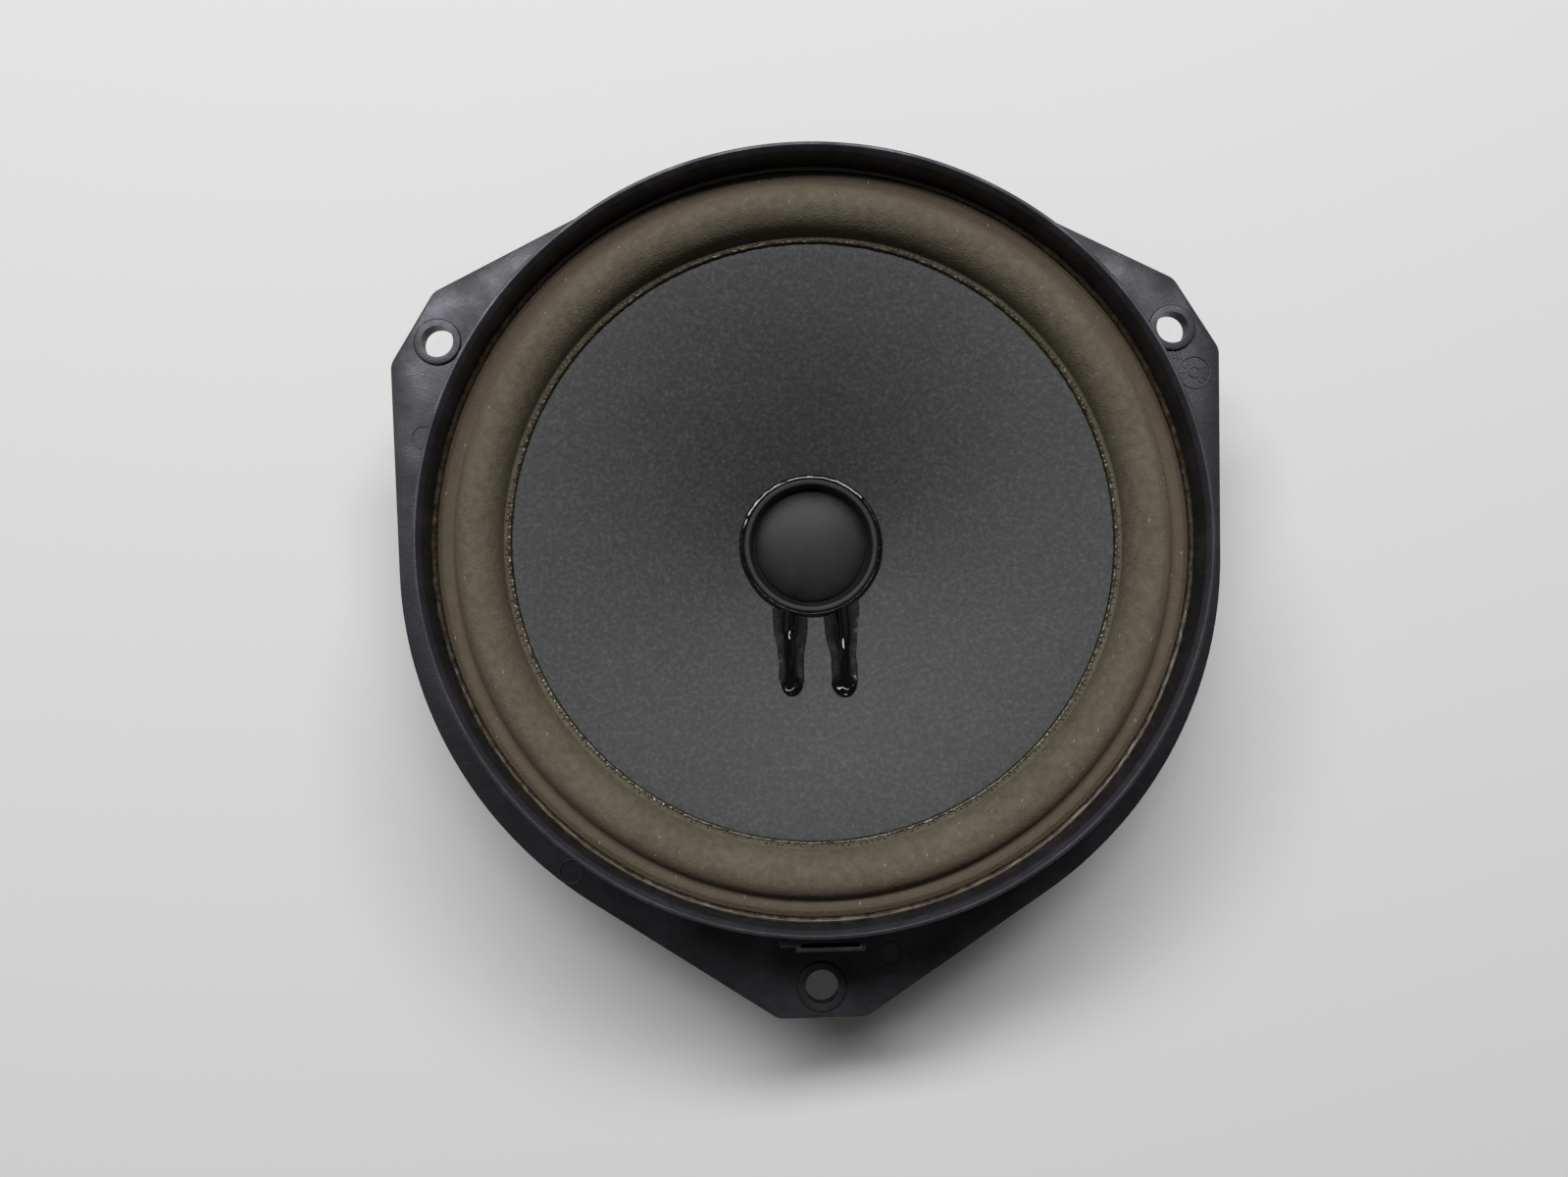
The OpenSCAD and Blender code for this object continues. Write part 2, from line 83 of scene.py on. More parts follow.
# The basket, from the rim inwards
RIM_TOP = high("basket")
FLANGE_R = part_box("basket")[1].y
EAR_TIP = -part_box("basket")[0].y
EAR_HALF = 8.6 * MM
EAR_CORNER = 4 * MM
RIM_R = FLANGE_R - 8 * MM
RIM_IN = reach("surround_glue")
RIM_BEVEL = 0.9 * MM
RIM_TAPER_W = 1.3 * MM
RIM_TAPER_H = 12 * MM
FLANGE_T = 3 * MM
BOSS_R = 4.8 * MM
BOSS_TOP = FLANGE_T + 0.6 * MM
SEAT_W = 5.7 * MM
SEAT_IN = RIM_IN - SEAT_W
SEAT_T = 2.6 * MM
SEAT_Z = low("surround_glue")
PLATFORM_Z = low("spider_glue")
PLATFORM_R = 42.5 * MM
PLATFORM_IN = 35.5 * MM
LEG_T = 3 * MM
LEG_TOP = PLATFORM_Z + 8 * MM
FLOOR_Z = high("front_plate")
FLOOR_T = 2.2 * MM
FLOOR_HOLE = 24 * MM
WINDOWS = 12
WINDOW_ANGLE = radians(15)

# The cone and its edge
CONE_OUT = reach("cone")
CONE_EDGE = high("cone")
CONE_NECK = 12.85 * MM
NECK_Z = high("coil_former")
LIP_IN = 57.6 * MM
BRIM_IN = LIP_IN - 0.2 * MM
CONE_BOW = 1.8 * MM
CONE_T = 0.64 * MM
ROLL_IN = 58.9 * MM
ROLL_OUT = SEAT_IN + 0.8 * MM
ROLL_H = 4.6 * MM
FOAM_T = 0.9 * MM
FOAM_OUT = reach("surround")
CAP_R = reach("dust_cap")
CAP_TOP = NECK_Z + 1.6 * MM
CAP_GLUE = reach("dust_cap_glue")

# Lead-out wires, terminals
LEAD_X = [-4.6 * MM, 5.7 * MM]
LEAD_Y = -28 * MM
TERMINAL_Y = (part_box("positive_terminal")[0].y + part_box("positive_terminal")[1].y) / 2
TERMINAL_X = 4.4 * MM
SHELF_LOW = high("terminal_block")
RIVET_X = 10.6 * MM
RIVET_CIRCLE = 28 * MM
SHELF_HALF = 15 * MM
SHELF_BACK = -PLATFORM_R - 15.5 * MM
SHELF_FRONT = -37.5 * MM
SHELF_T = 2.4 * MM
GUSSET_T = 1.8 * MM

# Spider and motor
SPIDER_T = 0.4 * MM
SPIDER_WAVE = 1.4 * MM
SPIDER_WAVES = 4.5
COIL_TURNS = 27
COIL_GAP = 0.5 * MM
MAGNET_HOLE = 16.5 * MM
POLE_FOOT = 8 * MM

SMOOTH = 256


# ---------------------------------------------------------------- node helpers


def add(tree, kind, inputs=None, **settings):
    """Adds a node with its settings; an input is a value, a node or a socket."""
    node = tree.nodes.new(kind)
    for name, value in settings.items():
        setattr(node, name, value)
    for name, value in (inputs or {}).items():
        if isinstance(value, bpy.types.Node):
            value = next(o for o in value.outputs if o.enabled)
        if isinstance(value, bpy.types.NodeSocket):
            tree.links.new(value, node.inputs[name])
        else:
            node.inputs[name].default_value = value
    return node


def linear(code, alpha=1.0):
    """sRGB hex to the linear colour that a shader takes."""
    channels = [int(code[i : i + 2], 16) / 255 for i in (1, 3, 5)]
    return [c / 12.92 if c <= 0.04045 else ((c + 0.055) / 1.055) ** 2.4 for c in channels] + [alpha]


# ---------------------------------------------------------------- materials


def new_surface(name, **shader):
    """A material with one Principled shader; returns its tree and the shader."""
    material = bpy.data.materials.new(name)
    material.use_nodes = True
    tree = material.node_tree
    tree.nodes.clear()
    bsdf = add(tree, "ShaderNodeBsdfPrincipled", {k.replace("_", " "): v for k, v in shader.items()})
    add(tree, "ShaderNodeOutputMaterial", {"Surface": bsdf.outputs["BSDF"]})
    return material, tree, bsdf


def place(tree, scale=(1, 1, 1)):
    """Object coordinates, stretched per axis."""
    coords = add(tree, "ShaderNodeTexCoord")
    return add(tree, "ShaderNodeMapping", {"Vector": coords.outputs["Object"], "Scale": scale})


def grain(tree, vector, size, detail=4.0, rough=0.55):
    """Noise whose blotches are about size metres across."""
    return add(
        tree, "ShaderNodeTexNoise",
        {"Vector": vector, "Scale": 1 / size, "Detail": detail, "Roughness": rough},
    )


def ramp(tree, fac, stops):
    """Colour ramp from (position, hex) or (position, grey) stops."""
    node = add(tree, "ShaderNodeValToRGB", {"Fac": fac})
    elements = node.color_ramp.elements
    while len(elements) < len(stops):
        elements.new(0.5)
    for element, (position, colour) in zip(elements, stops):
        element.position = position
        element.color = linear(colour) if isinstance(colour, str) else [colour, colour, colour, 1]
    return node


def blend_colours(tree, fac, first, second, mode="MIX"):
    return add(
        tree, "ShaderNodeMix", {"Factor": fac, 6: first, 7: second}, data_type="RGBA", blend_type=mode
    ).outputs[2]


def relief(tree, bsdf, height, depth, strength=1.0, below=None):
    """Bump of a given depth in metres, over an earlier bump if there is one."""
    inputs = {"Height": height, "Distance": depth, "Strength": strength}
    if below:
        inputs["Normal"] = below
    bump = add(tree, "ShaderNodeBump", inputs)
    tree.links.new(bump.outputs["Normal"], bsdf.inputs["Normal"])
    return bump


def glass_filled_nylon():
    # Black PA6 with glass fibre, injection moulded in a spark-eroded tool: a soft broken sheen with pale flow
    # streaks near the gates, and a fine even grain.
    material, tree, bsdf = new_surface("glass_filled_nylon", IOR=1.53, Specular_IOR_Level=0.55)
    bsdf.inputs["Specular Tint"].default_value = linear("#faf7ff")
    vector = place(tree)
    flow = grain(tree, place(tree, (1, 1, 0.4)), 9 * MM, 5.0, 0.6)
    streak = grain(tree, place(tree, (0.8, 1.6, 0.5)), 2.6 * MM, 4.0, 0.7)
    fine = grain(tree, vector, 0.35 * MM, 2.0, 0.5)
    base = ramp(tree, flow, [(0.34, "#131216"), (0.5, "#1d1c20"), (0.64, "#2f2d33")])
    dust = ramp(tree, streak, [(0.48, 0.0), (0.76, 0.5)])
    tree.links.new(blend_colours(tree, dust, base, linear("#36353a")), bsdf.inputs["Base Color"])
    sheen = add(
        tree, "ShaderNodeMapRange",
        {"Value": flow, "From Min": 0.34, "From Max": 0.66, "To Min": 0.6, "To Max": 0.36},
    )
    tree.links.new(sheen.outputs[0], bsdf.inputs["Roughness"])
    lower = relief(tree, bsdf, fine, 0.05 * MM, 0.6)
    relief(tree, bsdf, streak, 0.08 * MM, 0.5, lower)
    return material


def polyether_foam():
    # Open-celled speaker foam, hot pressed: matt, grey olive gone brown with age, with cells of about 0.4 mm
    # and a few pale flecks where cell walls stand up. The flat outer part is painted browner and darker than
    # the roll:
    # partly its own browner tone, partly painted shade that sets off the lit crest of the roll.
    material, tree, bsdf = new_surface("polyether_foam", Roughness=0.92, Specular_IOR_Level=0.25, IOR=1.4)
    bsdf.inputs["Sheen Weight"].default_value = 0.15
    bsdf.inputs["Sheen Roughness"].default_value = 0.5
    bsdf.inputs["Sheen Tint"].default_value = linear("#b0a88e")
    vector = place(tree)
    cloud = grain(tree, vector, 14 * MM, 4.0, 0.6)
    mottle = grain(tree, vector, 1.6 * MM, 4.0, 0.65)
    cells = add(tree, "ShaderNodeTexVoronoi", {"Vector": vector, "Scale": 1 / (0.42 * MM)}, feature="F1")
    base = ramp(tree, cloud, [(0.3, "#5e5748"), (0.55, "#655f50"), (0.75, "#6b6656")])
    spots = ramp(tree, mottle, [(0.35, "#4f493b"), (0.65, "#736d5d")])
    worn = blend_colours(tree, 0.4, base, spots.outputs["Color"])
    # Painted shade, partly real tone: from just inside the roll's outer foot outwards the foam is mixed
    # towards a darker brown.
    flat = add(tree, "ShaderNodeVectorMath", {0: place(tree, (1, 1, 0))}, operation="LENGTH")
    outer = add(
        tree, "ShaderNodeMapRange",
        {
            "Value": flat.outputs["Value"], "From Min": ROLL_OUT - 2.5 * MM, "From Max": ROLL_OUT,
            "To Max": 0.6,
        },
    )
    worn = blend_colours(tree, outer, worn, linear("#5c4f43"))
    fleck = add(tree, "ShaderNodeTexVoronoi", {"Vector": place(tree, (1, 0.45, 1)), "Scale": 1 / (1.9 * MM)})
    lint = ramp(tree, fleck.outputs["Distance"], [(0.05, 0.55), (0.11, 0.0)])
    tree.links.new(blend_colours(tree, lint, worn, linear("#a39c86")), bsdf.inputs["Base Color"])
    lower = relief(tree, bsdf, cells.outputs["Distance"], 0.12 * MM, 0.7)
    relief(tree, bsdf, mottle, 0.15 * MM, 0.5, lower)
    return material


def paper_pulp():
    # Felted paper pulp dyed grey black, pressed on a wire mesh: quite matt, with pale and dark fibres of 1 to
    # 2 mm lying every way.
    material, tree, bsdf = new_surface("paper_pulp", Roughness=0.6, Specular_IOR_Level=0.5, IOR=1.47)
    vector = place(tree)
    cloud = grain(tree, vector, 12 * MM, 3.0, 0.5)
    fibre = grain(tree, vector, 0.9 * MM, 5.0, 0.75)
    lay = grain(tree, place(tree, (1, 0.35, 1)), 0.7 * MM, 3.0, 0.7)
    base = ramp(tree, cloud, [(0.3, "#383838"), (0.7, "#3f3f3e")])
    fibres = ramp(tree, fibre, [(0.36, "#242424"), (0.52, "#3a3a39"), (0.68, "#5b5a58")])
    tree.links.new(blend_colours(tree, 0.6, base, fibres.outputs["Color"]), bsdf.inputs["Base Color"])
    lower = relief(tree, bsdf, fibre, 0.09 * MM, 0.8)
    relief(tree, bsdf, lay, 0.06 * MM, 0.6, lower)
    return material


def doped_cloth():
    # Dust cap of dense cloth soaked in black resin and pressed: satin, with a faint close weave.
    material, tree, bsdf = new_surface("doped_cloth", Roughness=0.52, Specular_IOR_Level=0.33, IOR=1.5)
    vector = place(tree)
    weave = add(tree, "ShaderNodeTexVoronoi", {"Vector": vector, "Scale": 1 / (0.3 * MM)}, feature="F1")
    cloud = grain(tree, vector, 5 * MM, 3.0, 0.5)
    base = ramp(tree, cloud, [(0.3, "#1a191a"), (0.7, "#262526")])
    tree.links.new(base.outputs["Color"], bsdf.inputs["Base Color"])
    relief(tree, bsdf, weave.outputs["Distance"], 0.03 * MM, 0.5)
    return material


def solvent_glue(name, thin, thick, rough):
    # Rubber glue that dried on the part: wet-looking where it is thick, skinned and dull where it is thin.
    material, tree, bsdf = new_surface(name, IOR=1.49)
    vector = place(tree)
    skin = grain(tree, vector, 1.3 * MM, 4.0, 0.6)
    lumps = grain(tree, vector, 3 * MM, 2.0, 0.5)
    tint = ramp(tree, skin, [(0.35, thin), (0.7, thick)])
    tree.links.new(tint.outputs["Color"], bsdf.inputs["Base Color"])
    gloss = add(
        tree, "ShaderNodeMapRange",
        {"Value": skin, "From Min": 0.35, "From Max": 0.65, "To Min": rough, "To Max": rough + 0.15},
    )
    tree.links.new(gloss.outputs[0], bsdf.inputs["Roughness"])
    relief(tree, bsdf, lumps, 0.12 * MM, 0.5)
    return material


def glue_film():
    # The same black rubber glue brushed over the wires: a dull brown-black film where it is thin on the
    # paper, and wet black where it stands in a ridge.
    material, tree, bsdf = new_surface("black_glue_film", IOR=1.49)
    thickness = add(tree, "ShaderNodeAttribute", attribute_name="glue_thickness").outputs["Fac"]
    body = add(tree, "ShaderNodeMapRange", {"Value": thickness, "From Min": 0.2 * MM, "From Max": 0.45 * MM})
    skin = grain(tree, place(tree), 0.8 * MM, 3.0, 0.6)
    thin = ramp(tree, skin, [(0.3, "#191718"), (0.7, "#272324")])
    colour = blend_colours(tree, body, thin.outputs["Color"], linear("#09090a"))
    tree.links.new(colour, bsdf.inputs["Base Color"])
    gloss = add(tree, "ShaderNodeMapRange", {"Value": body.outputs[0], "To Min": 0.16, "To Max": 0.07})
    tree.links.new(gloss.outputs[0], bsdf.inputs["Roughness"])
    relief(tree, bsdf, skin, 0.01 * MM, 0.3)
    return material


def worked_metal(name, dull, bright, rough, grit, metallic=1.0, depth=0.01):
    # Plated or drawn metal: two close tones of the plating, and a fine relief left by how it was made.
    material, tree, bsdf = new_surface(name, Metallic=metallic)
    vector = place(tree)
    tone = grain(tree, vector, 6 * MM, 4.0, 0.6)
    scratch = grain(tree, vector, grit, 3.0, 0.6)
    tint = ramp(tree, tone, [(0.3, dull), (0.7, bright)])
    tree.links.new(tint.outputs["Color"], bsdf.inputs["Base Color"])
    worn = add(
        tree, "ShaderNodeMapRange",
        {"Value": tone, "From Min": 0.3, "From Max": 0.7, "To Min": rough, "To Max": rough + 0.14},
    )
    tree.links.new(worn.outputs[0], bsdf.inputs["Roughness"])
    relief(tree, bsdf, scratch, depth * MM, 0.8)
    return material


def sintered_ferrite():
    # Strontium ferrite, sintered and tumbled: dark slate grey, slightly glassy, with pits of 0.2 to 1 mm.
    material, tree, bsdf = new_surface("sintered_ferrite", IOR=1.9)
    vector = place(tree)
    cloud = grain(tree, vector, 8 * MM, 4.0, 0.6)
    pits = add(tree, "ShaderNodeTexVoronoi", {"Vector": vector, "Scale": 1 / (1.2 * MM)}, feature="F1")
    holes = ramp(tree, pits.outputs["Distance"], [(0.05, 0.0), (0.16, 1.0)])
    base = ramp(tree, cloud, [(0.3, "#2b2c2f"), (0.7, "#3b3c40")])
    tree.links.new(base.outputs["Color"], bsdf.inputs["Base Color"])
    polish = add(
        tree, "ShaderNodeMapRange",
        {"Value": cloud, "From Min": 0.3, "From Max": 0.7, "To Min": 0.42, "To Max": 0.6},
    )
    tree.links.new(polish.outputs[0], bsdf.inputs["Roughness"])
    relief(tree, bsdf, holes.outputs["Color"], 0.08 * MM, 0.6)
    return material


def resin_cloth():
    # Spider of cotton cloth stiffened with phenolic resin: yellow brown, with a square weave. The real
    # threads, 0.4 mm apart, are too fine to show, so they are drawn 0.8 mm apart.
    material, tree, bsdf = new_surface("resin_cloth", Roughness=0.75, Specular_IOR_Level=0.35, IOR=1.5)
    coords = add(tree, "ShaderNodeTexCoord").outputs["Object"]
    pitch = 0.8 * MM
    threads = []
    for axis in ("X", "Y"):
        threads.append(
            add(
                tree, "ShaderNodeTexWave",
                {"Vector": coords, "Scale": pi / (10 * pitch), "Distortion": 0.6, "Detail": 1.0},
                wave_type="BANDS", bands_direction=axis,
            )
        )
    weave = add(
        tree, "ShaderNodeMath",
        {0: threads[0].outputs["Fac"], 1: threads[1].outputs["Fac"]}, operation="MULTIPLY",
    )
    cloud = grain(tree, coords, 7 * MM, 3.0, 0.5)
    base = ramp(tree, cloud, [(0.3, "#8a6a35"), (0.7, "#a5824a")])
    shade = ramp(tree, weave, [(0.0, "#5f451d"), (0.6, "#b59357")])
    tree.links.new(blend_colours(tree, 0.5, base, shade.outputs["Color"]), bsdf.inputs["Base Color"])
    relief(tree, bsdf, weave, 0.12 * MM, 0.7)
    return material


def kraft_paper():
    # Kraft paper tube, spirally wound: mid brown, fibrous, with the edge of each turn just showing.
    material, tree, bsdf = new_surface("kraft_paper", Roughness=0.8, Specular_IOR_Level=0.3)
    vector = place(tree, (1, 1, 6))
    fibre = grain(tree, vector, 3 * MM, 5.0, 0.7)
    base = ramp(tree, fibre, [(0.3, "#8a6238"), (0.7, "#b08757")])
    tree.links.new(base.outputs["Color"], bsdf.inputs["Base Color"])
    relief(tree, bsdf, fibre, 0.03 * MM, 0.6)
    return material


def phenolic_board():
    # Paper-phenolic board, punched: dark brown, faintly fibrous and slightly waxy.
    material, tree, bsdf = new_surface("phenolic_board", Roughness=0.5, IOR=1.55)
    fibre = grain(tree, place(tree, (1, 6, 6)), 4 * MM, 4.0, 0.6)
    base = ramp(tree, fibre, [(0.3, "#33221a"), (0.7, "#4a3226")])
    tree.links.new(base.outputs["Color"], bsdf.inputs["Base Color"])
    relief(tree, bsdf, fibre, 0.03 * MM, 0.5)
    return material


NYLON = glass_filled_nylon()
FOAM = polyether_foam()
PULP = paper_pulp()
CLOTH = doped_cloth()
BLACK_GLUE = solvent_glue("black_rubber_glue", "#09090a", "#101012", 0.06)
GLUE_FILM = glue_film()
AMBER_GLUE = solvent_glue("amber_rubber_glue", "#241d13", "#453a22", 0.25)
# Crimp glue: coloured lighter than the bead's glue as a painted glint, for the sparkle that the crimps catch.
CRIMP_GLUE_PAINTED_GLINT = solvent_glue("amber_glue_crimps", "#3b3422", "#5d5438", 0.3)
# Fleck glue: near-white, a painted highlight for the white glints of the edge glue on the lower left.
FLECK_GLUE_PAINTED_GLINT = solvent_glue("glossy_glue_flecks", "#a8a18a", "#cfcab8", 0.1)
BROWN_GLUE = solvent_glue("brown_rubber_glue", "#4a2c10", "#6b431c", 0.25)
MOTOR_GLUE = solvent_glue("black_epoxy", "#1c1a18", "#262320", 0.4)
KRAFT = kraft_paper()
BOARD = phenolic_board()
SPIDER_CLOTH = resin_cloth()
FERRITE = sintered_ferrite()
CHROMATE = worked_metal("yellow_chromate_steel", "#b09d62", "#bfae76", 0.3, 0.25 * MM)
ENAMELLED_COPPER = worked_metal("enamelled_copper", "#8a3e1c", "#b25f33", 0.25, 0.3 * MM)
TINSEL = worked_metal("tinsel_copper", "#a2603a", "#c98a5c", 0.35, 0.2 * MM)
BRASS = worked_metal("pressed_brass", "#a98a45", "#c9ab66", 0.3, 0.2 * MM)
SOLDER = worked_metal("tin_solder", "#a9abad", "#c6c8ca", 0.25, 0.4 * MM)
TINNED = worked_metal("tinned_brass", "#b6b8ba", "#d2d4d6", 0.28, 0.15 * MM)
ZINC = worked_metal("zinc_plated_steel", "#8f9398", "#b0b4b8", 0.34, 0.2 * MM)


# ---------------------------------------------------------------- shape helpers


def rounded(points, radius, steps=3):
    """A closed outline of (r, z) points with every corner turned into an arc, where its sides leave room."""
    made = []
    count = len(points)
    for i, here in enumerate(points):
        p = Vector(here)
        a = Vector(points[i - 1]) - p
        b = Vector(points[(i + 1) % count]) - p
        if p.x < 1e-7 or min(a.length, b.length) < 1e-7:
            made.append(tuple(p))
            continue
        half = a.angle(b) / 2
        if half > radians(85):
            made.append(tuple(p))
            continue
        setback = min(radius / tan(half), a.length * 0.45, b.length * 0.45)
        turn = setback * tan(half)
        centre = p + (a.normalized() + b.normalized()).normalized() * (turn / sin(half))
        start = p + a.normalized() * setback - centre
        sweep = start.angle_signed(p + b.normalized() * setback - centre)
        for k in range(steps + 1):
            made.append(tuple(centre + Matrix.Rotation(-sweep * k / steps, 2) @ start))
    return made


def clockwise(points):
    area = sum(a[0] * b[1] - b[0] * a[1] for a, b in zip(points, points[1:] + points[:1]))
    return points if area < 0 else points[::-1]


AXIS_R = 0.01 * MM


def open_tree(name, inputs):
    """A geometry tree with named inputs, each of its default's kind; returns it and what it is given."""
    tree = bpy.data.node_groups.new(name, "GeometryNodeTree")
    face = tree.interface
    face.new_socket("Geometry", in_out="INPUT", socket_type="NodeSocketGeometry")
    for label, value in inputs.items():
        kind = "NodeSocketInt" if isinstance(value, int) else "NodeSocketFloat"
        face.new_socket(label, in_out="INPUT", socket_type=kind).default_value = value
    face.new_socket("Material", in_out="INPUT", socket_type="NodeSocketMaterial")
    face.new_socket("Geometry", in_out="OUTPUT", socket_type="NodeSocketGeometry")
    return tree, add(tree, "NodeGroupInput").outputs


def close_tree(tree, given, geometry):
    """Makes instances real, gives them the material and hands them out."""
    real = add(tree, "GeometryNodeRealizeInstances", {"Geometry": geometry})
    dressed = add(tree, "GeometryNodeSetMaterial", {"Geometry": real, "Material": given["Material"]})
    add(tree, "NodeGroupOutput", {"Geometry": dressed})
    return tree


def revolve_tree():
    """Turns a closed section of (r, -z) points about Z; noise and even crimps can move the surface."""
    tree, given = open_tree("turned_piece", {
        "Lump height": 0.0, "Lump size": 0.002, "Crimp depth": 0.0, "Crimp from radius": 0.0,
        "Segments": SMOOTH, "Crimps": 1, "Seed": 1,
    })
    section = add(tree, "GeometryNodeMeshToCurve", {"Mesh": given["Geometry"]})
    hub = add(tree, "GeometryNodeCurvePrimitiveCircle", {"Resolution": given["Segments"], "Radius": AXIS_R})
    turned = add(tree, "GeometryNodeCurveToMesh", {"Curve": hub, "Profile Curve": section})
    closed = add(tree, "GeometryNodeMergeByDistance", {"Geometry": turned, "Distance": 0.004 * MM})

    position = add(tree, "GeometryNodeInputPosition")
    size = add(tree, "ShaderNodeMath", {0: 1.0, 1: given["Lump size"]}, operation="DIVIDE")
    texture = add(
        tree, "ShaderNodeTexNoise",
        {"Vector": position, "W": given["Seed"], "Scale": size, "Detail": 2.0}, noise_dimensions="4D",
    )
    swing = add(tree, "ShaderNodeMath", {0: texture.outputs["Fac"], 1: 0.5}, operation="SUBTRACT")
    lump = add(tree, "ShaderNodeMath", {0: swing, 1: given["Lump height"]}, operation="MULTIPLY")

    parts = add(tree, "ShaderNodeSeparateXYZ", {"Vector": position})
    angle = add(tree, "ShaderNodeMath", {0: parts.outputs["Y"], 1: parts.outputs["X"]}, operation="ARCTAN2")
    wobble = add(tree, "ShaderNodeMath", {0: swing, 1: 0.12, 2: angle}, operation="MULTIPLY_ADD")
    phase = add(tree, "ShaderNodeMath", {0: wobble, 1: given["Crimps"]}, operation="MULTIPLY")
    wave = add(tree, "ShaderNodeMath", {0: phase}, operation="SINE")
    flat = add(tree, "ShaderNodeCombineXYZ", {"X": parts.outputs["X"], "Y": parts.outputs["Y"]})
    radius = add(tree, "ShaderNodeVectorMath", {0: flat}, operation="LENGTH")
    outside = add(
        tree, "ShaderNodeMath",
        {0: radius.outputs["Value"], 1: given["Crimp from radius"]}, operation="GREATER_THAN",
    )
    depth = add(tree, "ShaderNodeMath", {0: outside, 1: given["Crimp depth"]}, operation="MULTIPLY")
    total = add(tree, "ShaderNodeMath", {0: wave, 1: depth, 2: lump}, operation="MULTIPLY_ADD")
    normal = add(tree, "GeometryNodeInputNormal")
    offset = add(tree, "ShaderNodeVectorMath", {0: normal, "Scale": total}, operation="SCALE")
    moved = add(tree, "GeometryNodeSetPosition", {"Geometry": closed, "Offset": offset})
    smooth = add(tree, "GeometryNodeSetShadeSmooth", {"Geometry": moved})
    return close_tree(tree, given, smooth)


def ring_tree():
    """Copies a mesh evenly round Z, turning each copy with the circle and varying its size."""
    tree, given = open_tree("pieces_in_a_ring", {
        "Count": 3, "Seed": 1, "First angle": 0.0, "Size change": 0.0, "Stray": 0.0,
    })
    places = add(tree, "GeometryNodePoints", {"Count": given["Count"]})
    index = add(tree, "GeometryNodeInputIndex")
    share = add(tree, "ShaderNodeMath", {0: index, 1: given["Count"]}, operation="DIVIDE")
    turn = add(
        tree, "ShaderNodeMath", {0: share, 1: 2 * pi, 2: given["First angle"]}, operation="MULTIPLY_ADD"
    )
    stray = add(
        tree, "FunctionNodeRandomValue",
        {2: -1.0, 3: 1.0, "ID": index, "Seed": given["Seed"]}, data_type="FLOAT",
    )
    turned = add(
        tree, "ShaderNodeMath", {0: stray.outputs[1], 1: given["Stray"], 2: turn}, operation="MULTIPLY_ADD"
    )
    rotation = add(tree, "ShaderNodeCombineXYZ", {"Z": turned})
    change = add(
        tree, "FunctionNodeRandomValue",
        {2: -1.0, 3: 0.0, "ID": index, "Seed": given["Seed"]}, data_type="FLOAT",
    )
    scale = add(
        tree, "ShaderNodeMath",
        {0: change.outputs[1], 1: given["Size change"], 2: 1.0}, operation="MULTIPLY_ADD",
    )
    copies = add(
        tree, "GeometryNodeInstanceOnPoints",
        {"Points": places, "Instance": given["Geometry"], "Rotation": rotation, "Scale": scale},
    )
    return close_tree(tree, given, copies)


REVOLVE = revolve_tree()
RING = ring_tree()


def link(obj):
    bpy.context.scene.collection.objects.link(obj)
    return obj


def mesh_object(name, vertices, edges=(), faces=()):
    data = bpy.data.meshes.new(name)
    data.from_pydata([tuple(v) for v in vertices], list(edges), list(faces))
    data.update()
    return link(bpy.data.objects.new(name, data))


def settle(obj, smooth=None):
    """Applies an object's modifiers and leaves a plain mesh; smooth is an angle in degrees."""
    bpy.context.view_layer.update()
    data = bpy.data.meshes.new_from_object(obj.evaluated_get(bpy.context.evaluated_depsgraph_get()))
    obj.modifiers.clear()
    old = obj.data
    obj.data = data
    data.name = obj.name
    bpy.data.meshes.remove(old)
    if smooth is not None:
        shade(obj, smooth)
    return obj


def shade(obj, angle):
    """Smooth shading, with edges sharper than the angle marked."""
    work = bmesh.new()
    work.from_mesh(obj.data)
    for face in work.faces:
        face.smooth = True
    for edge in work.edges:
        edge.smooth = len(edge.link_faces) == 2 and edge.calc_face_angle(0) < radians(angle)
    work.to_mesh(obj.data)
    work.free()
    return obj


def grow(obj, tree, material, **values):
    """Runs a node tree on an object and turns the result into its plain mesh."""
    modifier = obj.modifiers.new("grow", "NODES")
    modifier.node_group = tree
    values["Material"] = material
    for item in tree.interface.items_tree:
        name = item.name.replace(" ", "_")
        if item.in_out == "INPUT" and (item.name in values or name in values):
            modifier[item.identifier] = values.get(item.name, values.get(name))
    settle(obj)
    obj.data.materials.clear()
    obj.data.materials.append(material)
    return obj


def turned(name, section, material, corner=0.0, steps=3, sharp=40, **values):
    """A piece turned about Z from its closed section of (r, z) points."""
    outline = rounded(section, corner, steps) if corner else list(section)
    outline = clockwise(outline)
    points = [(max(r - AXIS_R, 0), -z, 0) for r, z in outline]
    count = len(points)
    obj = mesh_object(name, points, [(i, (i + 1) % count) for i in range(count)])
    grow(obj, REVOLVE, material, **values)
    return shade(obj, sharp)


def repeat(obj, count, first, material, **values):
    return grow(obj, RING, material, Count=count, First_angle=first, **values)


def box_mesh(name, lowest, highest):
    x, y, z = zip(lowest, highest)
    corners = [(x[i & 1], y[i >> 1 & 1], z[i >> 2 & 1]) for i in range(8)]
    faces = [(0, 2, 3, 1), (4, 5, 7, 6), (0, 1, 5, 4), (2, 6, 7, 3), (0, 4, 6, 2), (1, 3, 7, 5)]
    return mesh_object(name, corners, faces=faces)


